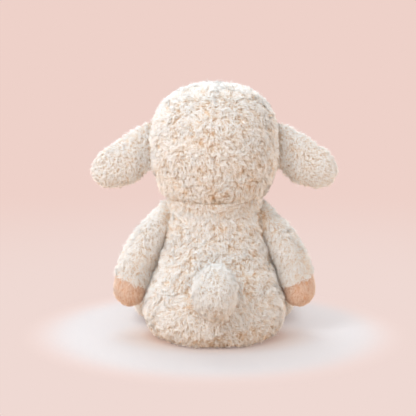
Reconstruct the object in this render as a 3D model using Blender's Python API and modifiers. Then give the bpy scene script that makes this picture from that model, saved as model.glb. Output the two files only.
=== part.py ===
"""A plush sheep that sits on its flat seat, as the pieces that it is sewn and stuffed from.

It faces -Y, its own left is +X, and the origin is the middle of its seat, on the floor.
The head turns and nods on a plug of stuffing in the neck seam. Each arm and leg hangs on the
gathered end that its stitches draw in. The ears and the tail fold at their roots.
All sizes are in metres, and all angles are written in degrees.
"""

import math

import bmesh
import bpy
from mathutils import Matrix, Vector

# Cloth and fit
FLEECE = 0.0045  # a body panel, backing and pile together
EAR_CLOTH = 0.0028  # the thinner cloth of the ears
GAP = 0.0003  # between pieces that touch
SOCKET_GAP = 0.0006  # between the neck's plug and the cloth round it
OVERRUN = 0.8  # the side of a block that trims a panel at its seam

# Body: half sizes swell from the seat and taper to the shoulders
BODY_HEIGHT = 0.140  # floor to the middle of the neck
BODY_WIDTH = 0.142
BODY_DEPTH = 0.124
BODY_SHARES = (  # height, width, depth
    (0.0, 0.66, 0.66),
    (0.05, 0.90, 0.90),
    (0.115, 0.975, 0.975),
    (0.215, 1.0, 1.0),
    (0.32, 0.97, 0.985),
    (0.43, 0.894, 0.93),
    (0.60, 0.775, 0.81),
    (0.80, 0.655, 0.68),
    (0.895, 0.575, 0.615),
    (0.942, 0.50, 0.555),
)
NECK_RADIUS = 0.031  # where the shoulders meet the neck's slope
BODY_NECK_SLOPE = 7.5
SEAT_SEAM_SHARE = 0.0825  # of the body's height
SIDE_SEAM_FORWARD = 0.012  # the side seam runs in front of the arms
POUCH_HEIGHT = 0.026  # floor to the top of the pouch of pellets
PLUG_RADIUS = 0.018

# Head
HEAD_HEIGHT = 0.117  # middle of the neck to the top
HEAD_WIDTH = 0.125
HEAD_DEPTH = 0.116
HEAD_SHARES = (  # height, width, depth
    (0.085, 0.808, 0.84),
    (0.18, 0.896, 0.915),
    (0.32, 0.976, 0.98),
    (0.50, 1.0, 1.0),
    (0.61, 0.986, 0.99),
    (0.73, 0.93, 0.935),
    (0.84, 0.81, 0.82),
    (0.94, 0.57, 0.58),
    (1.0, 0.0, 0.0),
)
HEAD_RIM_RADIUS = 0.0465  # where the underside turns up into the cheeks
HEAD_NECK_SLOPE = 8.5
CROWN_SEAM_RISE = 0.087  # above the middle of the neck
FACE_SEAM_FORWARD = 0.034

# Face
MUZZLE_WIDTH = 0.056
MUZZLE_HEIGHT = 0.042
MUZZLE_DEPTH = 0.062
MUZZLE_RISE = 0.038
MUZZLE_BACK = 0.006  # how far its middle lies behind the face
NOSE_WIDTH = 0.016
NOSE_HEIGHT = 0.010
NOSE_DEPTH = 0.006
NOSE_LIFT = 0.008  # above the muzzle's middle
THREAD = 0.0012
MOUTH_WIDTH = 0.022
MOUTH_DROP = 0.004  # below the muzzle's middle
MOUTH_CURVE = 0.004
MOUTH_STEPS = 8
EYE_SPACING = 0.046
EYE_RISE = 0.066
EYE_DIAMETER = 0.011
EYE_BULGE = 0.0042
EYE_STEPS = 4
SHANK_DIAMETER = 0.004
SHANK_TAIL = 0.002
WASHER_DIAMETER = 0.013
WASHER_THICKNESS = 0.0014
WASHER_SEAT = 0.0016  # behind the curved panel

# Ears: upright sections that step outward and droop
EAR_RISE = 0.056  # root's middle, above the middle of the neck
EAR_REACH = 0.0567
EAR_DROP = 0.028
EAR_HEIGHT = 0.050
EAR_THICKNESS = 0.016
EAR_ROOT = 0.003  # the radius that the rounded root rolls on
EAR_ROOT_SHARES = (  # outward and thickness in root radii, height in ear heights
    (-0.98, 0.10, 0.86),
    (-0.72, 0.60, 0.88),
    (0.0, 0.96, 0.92),
)
EAR_SHARES = (  # outward, droop, height, thickness
    (0.10, 0.15, 0.97, 0.68),
    (0.24, 0.36, 1.0, 0.94),
    (0.45, 0.56, 0.92, 1.0),
    (0.62, 0.725, 0.80, 0.96),
    (0.80, 0.87, 0.60, 0.80),
    (0.93, 0.955, 0.35, 0.52),
    (1.0, 1.0, 0.0, 0.0),
)

# Arms: they follow the body's side
SHOULDER_DROP = 0.016  # below the middle of the neck
ARM_FALL = 0.093  # shoulder to the tip, upright
ARM_WIDTH = 0.0364
ARM_DEPTH = 0.0336
ARM_GATHER = 0.0055
ARM_SHARES = (  # fall, distance from the body's side, width, depth
    (0.045, 0.45, 0.41, 0.47),
    (0.12, 0.66, 0.635, 0.70),
    (0.25, 0.875, 0.845, 0.89),
    (0.42, 1.01, 0.98, 0.985),
    (0.60, 1.03, 1.0, 1.0),
    (0.76, 0.965, 0.935, 0.955),
    (0.88, 0.92, 0.86, 0.885),
    (0.96, 0.91, 0.60, 0.62),
    (1.0, 0.90, 0.0, 0.0),
)
ARM_SEAM_ROW = 5  # the row at which fleece gives way to the hoof

# Legs: they lie forward on the floor
HIP_ANGLE = -35.0  # round the body from its left side
LEG_REACH = 0.087
LEG_SPREAD = 0.004
LEG_WIDTH = 0.0370
LEG_HEIGHT = 0.0366
LEG_GATHER = 0.0065
FLOOR_GAP = 0.0005  # the seat alone bears on the floor
LEG_SHARES = (  # forward, outward, width, height
    (0.05, 0.0, 0.50, 0.50),
    (0.15, 0.14, 0.84, 0.85),
    (0.30, 0.38, 0.955, 0.96),
    (0.52, 0.62, 0.955, 0.965),
    (0.70, 0.80, 0.98, 0.985),
    (0.86, 0.92, 1.0, 1.0),
    (0.96, 0.98, 0.76, 0.76),
    (1.0, 1.0, 0.0, 0.0),
)
LEG_SEAM_ROW = 4

# Tail
TAIL_RISE = 0.062
TAIL_REACH = 0.038
TAIL_WIDTH = 0.040
TAIL_HEIGHT = 0.050
TAIL_ROOT = 0.008  # the radius that rolls at the root
TAIL_SHARES = (  # rearward, width, height
    (0.0, 0.0, 0.0),
    (0.07, 0.29, 0.235),
    (0.16, 0.50, 0.46),
    (0.26, 0.76, 0.73),
    (0.38, 0.935, 0.925),
    (0.54, 1.0, 1.0),
    (0.76, 0.87, 0.87),
    (0.93, 0.51, 0.51),
    (1.0, 0.0, 0.0),
)

# Stitches
CLOSING_BOTTOM = 0.014
CLOSING_TOP = 0.034
CLOSING_WIDTH = 0.0036
CLOSING_STITCHES = 5
NECK_STITCH_DROP = 0.0075  # below the middle of the neck
NECK_STITCH_POINTS = 24

# Facets
BODY_SIDES = 24
LIMB_SIDES = 16
BALL_SIDES = 12
PLUG_SIDES = 20
BODY_FILLING_SIDES = 18
LIMB_FILLING_SIDES = 12
STEPS = 2  # sections to each row of a table

FLEECE_LOOK = ((0.82, 0.72, 0.62), 0.95)
VELOUR_LOOK = ((0.72, 0.47, 0.33), 0.9)
STUFFING_LOOK = ((0.86, 0.86, 0.84), 1.0)
THREAD_LOOK = ((0.68, 0.55, 0.44), 0.7)
NOSE_LOOK = ((0.32, 0.17, 0.12), 0.8)
EYE_LOOK = ((0.02, 0.015, 0.012), 0.15)
WASHER_LOOK = ((0.80, 0.80, 0.78), 0.5)
POUCH_LOOK = ((0.62, 0.58, 0.52), 0.85)

for leftover in list(bpy.data.objects):
    bpy.data.objects.remove(leftover)
sheep = bpy.data.collections.new("plush_sheep")
cutters = bpy.data.collections.new("cutters")
bpy.context.scene.collection.children.link(sheep)
bpy.context.scene.collection.children.link(cutters)


# Shapes


def end_row(row, toward):
    """The row past an end. At a tip the sizes run on through zero, which rounds it."""
    if row[-1]:
        return tuple(2 * here - there for here, there in zip(row, toward))
    return tuple(there * (-1 if here == 0 and place >= len(row) - 2 else 1)
                 for place, (here, there) in enumerate(zip(row, toward)))


def smooth(rows):
    """Rows on a smooth curve through the given ones, STEPS to each."""
    line = [end_row(rows[0], rows[1]), *rows, end_row(rows[-1], rows[-2])]
    points = [Vector(row) for row in line]
    spans = [max((b - a).length, 1e-9) for a, b in zip(points, points[1:])]
    slopes = [
        ((points[i] - points[i - 1]) * spans[i] / spans[i - 1]
         + (points[i + 1] - points[i]) * spans[i - 1] / spans[i]) / (spans[i - 1] + spans[i])
        for i in range(1, len(points) - 1)
    ]
    made = []
    for i in range(len(rows) - 1):
        a, b, span = points[i + 1], points[i + 2], spans[i + 1]
        for step in range(STEPS):
            t = step / STEPS
            made.append((2 * t**3 - 3 * t**2 + 1) * a + (t**3 - 2 * t**2 + t) * span * slopes[i]
                        + (3 * t**2 - 2 * t**3) * b + (t**3 - t**2) * span * slopes[i + 1])
    made.append(points[-2])
    return [tuple(row) for row in made]


def section(middle, across, along, sides):
    """An oval ring of points, or one point where the section has shrunk to a tip."""
    if across.length == 0:
        return [middle]
    turn = math.tau / sides
    return [middle + across * math.cos(turn * i) + along * math.sin(turn * i) for i in range(sides)]


def loft(name, sections):
    """A closed skin through sections. A tip closes to its point, any other end is flat.

    Each side is two triangles that split the same way, so a form drawn in stays inside it.
    """
    made = bmesh.new()
    rings = [[made.verts.new(point) for point in points] for points in sections]
    for low, high in zip(rings, rings[1:]):
        sides = max(len(low), len(high))
        for i in range(sides):
            a, b = low[i % len(low)], low[(i + 1) % len(low)]
            c, d = high[(i + 1) % len(high)], high[i % len(high)]
            for corners in ((a, b, c), (a, c, d)):
                if len(set(corners)) == len(corners):
                    made.faces.new(corners)
    for ring in (rings[0], rings[-1]):
        if len(ring) > 1:
            made.faces.new(ring)
    bmesh.ops.recalc_face_normals(made, faces=made.faces)
    mesh = bpy.data.meshes.new(name)
    made.to_mesh(mesh)
    made.free()
    return mesh


def grown(mesh, distance):
    """A copy of a closed skin, each point moved out along its normal."""
    copy = mesh.copy()
    normals = [vertex.normal.copy() for vertex in mesh.vertices]
    for vertex, normal in zip(copy.vertices, normals):
        vertex.co += normal * distance
    return copy


def ball(name, middle, radius, sides):
    """A round skin, such as a gathered end or the socket round it."""
    made = bmesh.new()
    bmesh.ops.create_uvsphere(made, u_segments=sides, v_segments=sides // 2, radius=1,
                              matrix=Matrix.LocRotScale(middle, None, Vector([radius] * 3)))
    mesh = bpy.data.meshes.new(name)
    made.to_mesh(mesh)
    made.free()
    return mesh


def rod(name, frame, radius, start, end, sides):
    """A cylinder along the Z axis of a frame, from start to end."""
    made = bmesh.new()
    place = frame @ Matrix.Translation((0, 0, (start + end) / 2))
    bmesh.ops.create_cone(made, cap_ends=True, segments=sides, radius1=radius, radius2=radius,
                          depth=end - start, matrix=place)
    mesh = bpy.data.meshes.new(name)
    made.to_mesh(mesh)
    made.free()
    return mesh


# Objects


def tool(name, mesh):
    """A shape that cuts others and isn't part of the toy."""
    made = bpy.data.objects.new(name, mesh)
    made.hide_render = True
    made.display_type = "WIRE"
    cutters.objects.link(made)
    return made


def half(name, point, normal):
    """A block that holds everything on one side of a seam."""
    made = bmesh.new()
    turned = Vector((0, 0, 1)).rotation_difference(normal)
    middle = point + normal.normalized() * OVERRUN / 2
    bmesh.ops.create_cube(made, size=1, matrix=Matrix.LocRotScale(middle, turned, Vector([OVERRUN] * 3)))
    mesh = bpy.data.meshes.new(name)
    made.to_mesh(mesh)
    made.free()
    return tool(name, mesh)


def cut(piece, shape, operation="DIFFERENCE"):
    """Take a shape away from a piece, or keep only what is inside it."""
    change = piece.modifiers.new(shape.name, "BOOLEAN")
    change.operation = operation
    change.object = shape


def dress(piece, look, parent):
    """Put a piece in the toy with its own material, carried by its joint's empty."""
    colour, roughness = look
    material = bpy.data.materials.new(piece.name)
    material.use_nodes = True
    shader = material.node_tree.nodes["Principled BSDF"]
    shader.inputs["Base Color"].default_value = (*colour, 1)
    shader.inputs["Roughness"].default_value = roughness
    shader.inputs["Metallic"].default_value = 0
    piece.data.materials.clear()
    piece.data.materials.append(material)
    sheep.objects.link(piece)
    if parent:
        piece.parent = parent
        piece.matrix_parent_inverse = Matrix.Translation(-world_place[parent.name])


def solid(name, mesh, look, parent=None):
    """A sewn or stuffed piece."""
    piece = bpy.data.objects.new(name, mesh)
    mesh.shade_smooth()
    dress(piece, look, parent)
    return piece


world_place = {}


def pivot(name, place, parent=None):
    """An empty on a joint's axis, which carries the pieces that move."""
    made = bpy.data.objects.new(name, None)
    made.location = place
    sheep.objects.link(made)
    world_place[name] = Vector(place)
    if parent:
        made.parent = parent
        made.matrix_parent_inverse = Matrix.Translation(-world_place[parent.name])
    return made


def thread(name, points, look, parent=None, cyclic=False):
    """A line of sewing thread."""
    line = bpy.data.curves.new(name, "CURVE")
    line.dimensions = "3D"
    line.bevel_depth = THREAD / 2
    line.bevel_resolution = 1
    line.use_fill_caps = True
    spline = line.splines.new("POLY")
    spline.points.add(len(points) - 1)
    for spot, point in zip(spline.points, points):
        spot.co = (*point, 1)
    spline.use_cyclic_u = cyclic
    piece = bpy.data.objects.new(name, line)
    dress(piece, look, parent)
    return piece


def turned(name, profile, frame, look, parent, closed=False):
    """A turned piece: its profile goes round the Z axis of a frame."""
    mesh = bpy.data.meshes.new(name)
    edges = [(i, i + 1) for i in range(len(profile) - 1)]
    if closed:
        edges.append((len(profile) - 1, 0))
    mesh.from_pydata([(radius, 0, height) for radius, height in profile], edges, [])
    piece = bpy.data.objects.new(name, mesh)
    spin = piece.modifiers.new("turned", "SCREW")
    spin.axis = "Z"
    spin.steps = BALL_SIDES
    spin.render_steps = BALL_SIDES
    spin.use_merge_vertices = True
    spin.merge_threshold = GAP / 10
    piece.matrix_basis = frame
    dress(piece, look, parent)
    return piece


# The two large forms


def neck_rows(height, slope, way, rim):
    """The neck's gentle cone, from its middle to its rim. The body's falls, the head's rises."""
    return [
        (height + way * (GAP / 2 + radius * math.tan(math.radians(slope))), radius, radius)
        for radius in (0, rim / 2, rim)
    ]


def body_rows():
    """Height, half width and half depth of the body, from the floor up."""
    rows = [(BODY_HEIGHT * h, BODY_WIDTH / 2 * w, BODY_DEPTH / 2 * d) for h, w, d in BODY_SHARES]
    neck = neck_rows(BODY_HEIGHT, BODY_NECK_SLOPE, -1, NECK_RADIUS)
    return smooth(rows + [neck[2]]) + [neck[1], neck[0]]


def head_rows():
    """Height, half width and half depth of the head, from the neck up."""
    rows = [(BODY_HEIGHT + HEAD_HEIGHT * h, HEAD_WIDTH / 2 * w, HEAD_DEPTH / 2 * d)
            for h, w, d in HEAD_SHARES]
    neck = neck_rows(BODY_HEIGHT, HEAD_NECK_SLOPE, 1, HEAD_RIM_RADIUS)
    return neck[:2] + smooth([neck[2]] + rows)


def upright(name, rows, sides=BODY_SIDES):
    """A skin whose level sections are ovals."""
    return loft(name, [section(Vector((0, 0, z)), Vector((w, 0, 0)), Vector((0, d, 0)), sides)
                       for z, w, d in rows])


def on_skin(rows, angle, height):
    """The point of an upright form at an angle and a height, and the normal there."""
    low, high = next((a, b) for a, b in zip(rows, rows[1:]) if b[0] >= height)
    share = (height - low[0]) / (high[0] - low[0])
    wide, deep = (a + (b - a) * share for a, b in zip(low[1:], high[1:]))
    widening, deepening = ((b - a) / (high[0] - low[0]) for a, b in zip(low[1:], high[1:]))
    c, s = math.cos(angle), math.sin(angle)
    normal = Vector((c / wide, s / deep, -(c * c * widening / wide + s * s * deepening / deep)))
    return Vector((wide * c, deep * s, height)), normal.normalized()


BODY = body_rows()
HEAD = head_rows()
NECK = Vector((0, 0, BODY_HEIGHT))
UP = Vector((0, 0, 1))
OUT = Vector((1, 0, 0))
BACK = Vector((0, 1, 0))
neck = pivot("neck_turn", NECK)
head = pivot("neck_nod", NECK, neck)
head_skin = upright("head", HEAD)
body_skin = upright("body", BODY)
head_form = upright("head_form", HEAD[::STEPS], BODY_FILLING_SIDES)
body_form = upright("body_form", BODY[::STEPS], BODY_FILLING_SIDES)
plug_socket = tool("plug_socket", ball("plug_socket", NECK, PLUG_RADIUS + SOCKET_GAP, PLUG_SIDES))


def panel(name, skin, core, seams, look, parent=None):
    """One cloth panel: the skin without its core, trimmed at each seam."""
    piece = solid(name, skin.copy(), look, parent)
    cut(piece, core)
    for point, normal in seams:
        cut(piece, half(f"{name}_seam", point + normal * GAP / 2, normal), "INTERSECT")
    return piece


def make_body():
    """The seat, belly and back panels, with the stuffing and the pouch of pellets inside."""
    core = tool("body_core", grown(body_form, -FLEECE))
    seat = UP * BODY_HEIGHT * SEAT_SEAM_SHARE
    side = -BACK * SIDE_SEAM_FORWARD
    panel("seat_panel", body_skin, core, [(seat, -UP)], FLEECE_LOOK)
    belly = panel("belly_panel", body_skin, core, [(seat, UP), (side, -BACK)], FLEECE_LOOK)
    backs = [panel(f"back_panel_{name}", body_skin, core, [(seat, UP), (side, BACK), (Vector(), way)],
                   FLEECE_LOOK) for name, way in (("left", OUT), ("right", -OUT))]
    filling = grown(body_form, -FLEECE - GAP)
    top = UP * POUCH_HEIGHT
    stuffing = solid("body_stuffing", filling, STUFFING_LOOK)
    cut(stuffing, half("stuffing_bottom", top + UP * GAP / 2, UP), "INTERSECT")
    pouch = solid("pellet_pouch", filling.copy(), POUCH_LOOK)
    cut(pouch, half("pouch_top", top - UP * GAP / 2, -UP), "INTERSECT")
    for piece in (belly, *backs, stuffing):
        cut(piece, plug_socket)


def make_head():
    """The crown, back and face panels round the head's stuffing, and the neck's plug."""
    core = tool("head_core", grown(head_form, -FLEECE))
    crown = UP * (BODY_HEIGHT + CROWN_SEAM_RISE)
    face = -BACK * FACE_SEAM_FORWARD
    panel("crown_panel", head_skin, core, [(crown, UP)], FLEECE_LOOK, head)
    backs = [panel(f"head_back_{name}", head_skin, core, [(crown, -UP), (face, BACK), (Vector(), way)],
                   FLEECE_LOOK, head) for name, way in (("left", OUT), ("right", -OUT))]
    front = panel("face_panel", head_skin, core, [(crown, -UP), (face, -BACK)], VELOUR_LOOK, head)
    stuffing = solid("head_stuffing", grown(head_form, -FLEECE - GAP), STUFFING_LOOK, head)
    for piece in (*backs, front, stuffing):
        cut(piece, plug_socket)
    solid("neck_stuffing", ball("neck_stuffing", NECK, PLUG_RADIUS, PLUG_SIDES), STUFFING_LOOK, neck)
    return front, stuffing


# Face


def make_eyes(front, stuffing):
    """A safety eye each side: its shank goes through the face to a washer in the stuffing."""
    for name, way in (("left", 1), ("right", -1)):
        height = BODY_HEIGHT + EYE_RISE
        wide = on_skin(HEAD, 0, height)[0].x
        angle = -math.pi / 2 + way * math.asin(EYE_SPACING / 2 / wide)
        point, normal = on_skin(HEAD, angle, height)
        turn = UP.rotation_difference(normal).to_matrix().to_4x4()
        frame = Matrix.Translation(point + normal * GAP) @ turn
        radius, shank = EYE_DIAMETER / 2, SHANK_DIAMETER / 2
        seat = -FLEECE - WASHER_SEAT
        end = seat - WASHER_THICKNESS - SHANK_TAIL
        quarter = math.pi / 2 / EYE_STEPS
        dome = [(radius * math.sin(quarter * i), EYE_BULGE * math.cos(quarter * i))
                for i in range(EYE_STEPS + 1)]
        dome[0] = (0, EYE_BULGE)
        turned(f"eye_{name}", [*dome[:-1], (radius, 0), (shank, 0), (shank, end), (0, end)], frame,
               EYE_LOOK, head)
        bore = shank + GAP
        ring = [(bore, seat), (WASHER_DIAMETER / 2, seat),
                (WASHER_DIAMETER / 2, seat - WASHER_THICKNESS), (bore, seat - WASHER_THICKNESS)]
        turned(f"eye_washer_{name}", ring, frame, WASHER_LOOK, head, closed=True)
        hole = rod(f"eye_hole_{name}", frame, bore, end, EYE_BULGE, LIMB_SIDES)
        cut(front, tool(f"eye_hole_{name}", hole))
        recess = rod(f"washer_recess_{name}", frame, WASHER_DIAMETER / 2 + GAP, end - GAP, EYE_BULGE,
                     LIMB_SIDES)
        cut(stuffing, tool(f"washer_recess_{name}", recess))


def on_muzzle(middle, across, rise, lift):
    """A point that stands a little off the muzzle, at a place across and up its front."""
    radii = Vector((MUZZLE_WIDTH, MUZZLE_DEPTH, MUZZLE_HEIGHT)) / 2
    out = math.sqrt(1 - (across / radii.x) ** 2 - (rise / radii.z) ** 2)
    point = Vector((across, -radii.y * out, rise))
    normal = Vector([value / radius**2 for value, radius in zip(point, radii)]).normalized()
    return middle + point + normal * lift


def make_muzzle():
    """The stuffed muzzle on the face, with its sewn nose and mouth."""
    height = BODY_HEIGHT + MUZZLE_RISE
    face = on_skin(HEAD, -math.pi / 2, height)[0]
    middle = face + BACK * MUZZLE_BACK
    shape = ball("muzzle", Vector(), 1, BODY_SIDES)
    shape.transform(Matrix.LocRotScale(middle, None, Vector((MUZZLE_WIDTH, MUZZLE_DEPTH, MUZZLE_HEIGHT)) / 2))
    muzzle = solid("muzzle", shape, VELOUR_LOOK, head)
    cut(muzzle, tool("face_clearance", grown(head_skin, GAP)))
    pad = ball("nose", Vector(), 1, LIMB_SIDES)
    pad.transform(Matrix.LocRotScale(on_muzzle(middle, 0, NOSE_LIFT, 0), None,
                                     Vector((NOSE_WIDTH, NOSE_DEPTH, NOSE_HEIGHT)) / 2))
    nose = solid("nose", pad, NOSE_LOOK, head)
    cut(nose, tool("muzzle_clearance", grown(shape, GAP)))
    lift = GAP + THREAD / 2
    line = []
    for i in range(-MOUTH_STEPS, MOUTH_STEPS + 1):
        share = i / MOUTH_STEPS
        dip = math.sin(abs(share) * math.pi) * MOUTH_CURVE
        line.append(on_muzzle(middle, share * MOUTH_WIDTH / 2, -MOUTH_DROP - dip, lift))
    thread("mouth_stitches", line, NOSE_LOOK, head)


# Ears, limbs and tail


def skin_of(name, ovals, sides=LIMB_SIDES):
    """A skin through ovals, each a middle and two half sizes."""
    return loft(name, [section(*oval, sides) for oval in ovals])


def narrowed(oval, cloth):
    """An oval drawn in all round."""
    middle, across, along = oval
    return middle, across * (1 - cloth / across.length), along * (1 - cloth / along.length)


def filling_of(ovals, cloth):
    """The ovals inside the cloth, where they are far enough from each end and wide enough."""
    ends = ovals[0][0], ovals[-1][0]
    return [
        narrowed(oval, cloth) for oval in ovals[::STEPS]
        if min(oval[1].length, oval[2].length) > 1.5 * cloth
        and all((oval[0] - end).length > cloth for end in ends)
    ]


def packed(ovals):
    """What fills a hollow: its ovals drawn in by the gap, the ends too."""
    made = [narrowed(oval, GAP) for oval in ovals]
    for end, beside in ((0, 1), (-1, -2)):
        middle, across, along = made[end]
        made[end] = middle + (made[beside][0] - middle).normalized() * GAP, across, along
    return made


def make_ear(name, way):
    """An ear of two cloths, fleece behind and velour in front, over thin wadding."""
    height = BODY_HEIGHT + EAR_RISE
    root = on_skin(HEAD, 0, height)[0] + OUT * (EAR_ROOT + GAP)
    fold = pivot(f"ear_{name}_fold", Vector((way * root.x, 0, height)), head)
    rows = [(EAR_ROOT * out, 0, EAR_HEIGHT / 2 * tall, EAR_ROOT * thick)
            for out, thick, tall in EAR_ROOT_SHARES]
    rows += [(EAR_REACH * out, EAR_DROP * droop, EAR_HEIGHT / 2 * tall, EAR_THICKNESS / 2 * thick)
             for out, droop, tall, thick in EAR_SHARES]
    ovals = [(Vector((way * (root.x + out), 0, height - droop)), UP * tall, BACK * thick)
             for out, droop, tall, thick in smooth(rows)]
    hollow = filling_of(ovals, EAR_CLOTH)
    skin = skin_of(f"ear_{name}", ovals)
    core = tool(f"ear_{name}_core", skin_of(f"ear_{name}_core", hollow, LIMB_FILLING_SIDES))
    panel(f"ear_back_{name}", skin, core, [(Vector(), BACK)], FLEECE_LOOK, fold)
    panel(f"ear_lining_{name}", skin, core, [(Vector(), -BACK)], VELOUR_LOOK, fold)
    wadding = skin_of(f"ear_wadding_{name}", packed(hollow), LIMB_FILLING_SIDES)
    solid(f"ear_wadding_{name}", wadding, STUFFING_LOOK, fold)


def make_limb(kind, name, ovals, seam, root, radius, joints):
    """A fleece sleeve and a velour hoof over one stuffing, hung on the limb's gathered end."""
    first, second = joints
    outer = pivot(first, root)
    inner = pivot(second, root, outer)
    place = {"arm": "shoulder", "leg": "hip"}[kind]
    gather = f"{place}_gather_{name}"
    solid(gather, ball(gather, root, radius, BALL_SIDES), THREAD_LOOK, outer)
    socket = tool(f"{gather}_socket", ball(gather, root, radius + SOCKET_GAP, BALL_SIDES))
    hollow = filling_of(ovals, FLEECE)
    skin = skin_of(f"{kind}_{name}", ovals)
    core = tool(f"{kind}_{name}_core", skin_of(f"{kind}_{name}_core", hollow, LIMB_FILLING_SIDES))
    middle, across, along = ovals[seam * STEPS]
    toward = across.cross(along).normalized()
    if toward.dot(ovals[-1][0] - middle) < 0:
        toward = -toward
    sleeve = panel(f"{kind}_sleeve_{name}", skin, core, [(middle, -toward)], FLEECE_LOOK, inner)
    panel(f"{kind}_hoof_{name}", skin, core, [(middle, toward)], VELOUR_LOOK, inner)
    filling = skin_of(f"{kind}_stuffing_{name}", packed(hollow), LIMB_FILLING_SIDES)
    stuffing = solid(f"{kind}_stuffing_{name}", filling, STUFFING_LOOK, inner)
    cut(sleeve, socket)
    cut(stuffing, socket)


def arm_place(fall, distance, way):
    """A point beside the body, that far down from the shoulder and out from the skin."""
    height = BODY_HEIGHT - SHOULDER_DROP - ARM_FALL * fall
    point, normal = on_skin(BODY, 0, height)
    middle = point + normal * distance
    return Vector((way * middle.x, 0, middle.z)), Vector((way * normal.x, 0, normal.z))


def make_arm(name, way):
    """An arm that hangs along the body's side."""
    root = arm_place(0, ARM_GATHER + GAP, way)[0]
    ovals = []
    for fall, distance, wide, deep in smooth(ARM_SHARES):
        middle, outward = arm_place(fall, ARM_WIDTH / 2 * distance, way)
        ovals.append((middle, outward * ARM_WIDTH / 2 * wide, BACK * ARM_DEPTH / 2 * deep))
    make_limb("arm", name, ovals, ARM_SEAM_ROW, root, ARM_GATHER,
              (f"arm_{name}_swing", f"arm_{name}_lift"))


def make_leg(name, way):
    """A leg that lies forward on the floor."""
    height = LEG_HEIGHT / 2 + FLOOR_GAP
    point, normal = on_skin(BODY, math.radians(HIP_ANGLE), height)
    level = Vector((normal.x, normal.y, 0)).normalized()
    root = point + level * (LEG_GATHER + GAP)
    ovals = [
        (Vector((way * (root.x + LEG_SPREAD * out), root.y - LEG_REACH * ahead, height)),
         OUT * LEG_WIDTH / 2 * wide, UP * LEG_HEIGHT / 2 * tall)
        for ahead, out, wide, tall in smooth(LEG_SHARES)
    ]
    make_limb("leg", name, ovals, LEG_SEAM_ROW, Vector((way * root.x, root.y, root.z)), LEG_GATHER,
              (f"leg_{name}_splay", f"leg_{name}_raise"))


def make_tail():
    """The round tail, which rolls on its drawn-in root."""
    start = on_skin(BODY, math.pi / 2, TAIL_RISE)[0] + BACK * GAP
    flap = pivot("tail_flap", start + BACK * TAIL_ROOT)
    ovals = [
        (start + BACK * TAIL_REACH * rear, OUT * TAIL_WIDTH / 2 * wide, UP * TAIL_HEIGHT / 2 * tall)
        for rear, wide, tall in smooth(TAIL_SHARES)
    ]
    hollow = filling_of(ovals, FLEECE)
    cover = solid("tail_cover", skin_of("tail_cover", ovals), FLEECE_LOOK, flap)
    cut(cover, tool("tail_core", skin_of("tail_core", hollow, LIMB_FILLING_SIDES)))
    rearward = UP.rotation_difference(BACK).to_matrix().to_4x4()
    frame = Matrix.Translation(start) @ rearward @ Matrix.Rotation(math.pi / LIMB_SIDES, 4, "Z")
    hole = rod("tail_root_hole", frame, TAIL_ROOT / 2, -GAP, TAIL_ROOT + FLEECE, LIMB_SIDES)
    cut(cover, tool("tail_root_hole", hole))
    filling = skin_of("tail_stuffing", packed(hollow), LIMB_FILLING_SIDES)
    solid("tail_stuffing", filling, STUFFING_LOOK, flap)


# Stitches


def make_stitches():
    """The seam that closed the back once it was stuffed, and the thread round the neck."""
    lift = GAP + THREAD / 2
    zigzag = []
    for i in range(2 * CLOSING_STITCHES + 1):
        height = CLOSING_BOTTOM + (CLOSING_TOP - CLOSING_BOTTOM) * i / (2 * CLOSING_STITCHES)
        aside = CLOSING_WIDTH / 2 * (-1) ** i
        wide = on_skin(BODY, 0, height)[0].x
        point, normal = on_skin(BODY, math.acos(aside / wide), height)
        zigzag.append(point + normal * lift)
    thread("closing_stitches", zigzag, THREAD_LOOK)
    ring = []
    for i in range(NECK_STITCH_POINTS):
        point, normal = on_skin(BODY, math.tau * i / NECK_STITCH_POINTS, BODY_HEIGHT - NECK_STITCH_DROP)
        ring.append(point + normal * lift)
    thread("neck_stitches", ring, THREAD_LOOK, cyclic=True)


make_body()
make_eyes(*make_head())
make_muzzle()
for side_name, side_way in (("left", 1), ("right", -1)):
    make_ear(side_name, side_way)
    make_arm(side_name, side_way)
    make_leg(side_name, side_way)
make_tail()
make_stitches()
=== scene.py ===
"""Dresses a plush sheep in its curly fleece, velour, threads and eyes, on a pale studio floor."""

import math
from collections import namedtuple

import bpy
import numpy as np
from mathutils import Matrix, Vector


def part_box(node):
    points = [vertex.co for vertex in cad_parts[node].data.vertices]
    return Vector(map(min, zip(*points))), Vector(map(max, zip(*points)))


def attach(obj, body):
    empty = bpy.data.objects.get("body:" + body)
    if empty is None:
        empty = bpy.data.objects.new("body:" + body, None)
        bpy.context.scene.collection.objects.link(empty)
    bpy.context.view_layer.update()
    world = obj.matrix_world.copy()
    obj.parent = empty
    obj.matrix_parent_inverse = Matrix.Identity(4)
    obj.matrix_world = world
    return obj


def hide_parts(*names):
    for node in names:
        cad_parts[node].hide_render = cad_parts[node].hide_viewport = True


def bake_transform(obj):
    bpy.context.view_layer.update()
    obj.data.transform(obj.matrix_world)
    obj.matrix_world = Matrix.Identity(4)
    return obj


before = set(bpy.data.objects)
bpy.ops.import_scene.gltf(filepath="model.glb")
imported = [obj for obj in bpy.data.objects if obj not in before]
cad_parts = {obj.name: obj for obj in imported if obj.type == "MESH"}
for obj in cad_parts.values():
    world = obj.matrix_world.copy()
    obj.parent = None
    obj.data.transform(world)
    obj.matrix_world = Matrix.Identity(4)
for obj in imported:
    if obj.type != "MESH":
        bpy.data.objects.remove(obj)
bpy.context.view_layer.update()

bl_info = {
    "name": "Plush Sheep",
    "version": (1, 0, 0),
    "blender": (4, 5, 0),
    "location": "3D View > Sidebar > Plush Sheep",
    "description": "Makes the fleece, velour, face and stitches of a plush sheep",
    "category": "Object",
}

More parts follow.
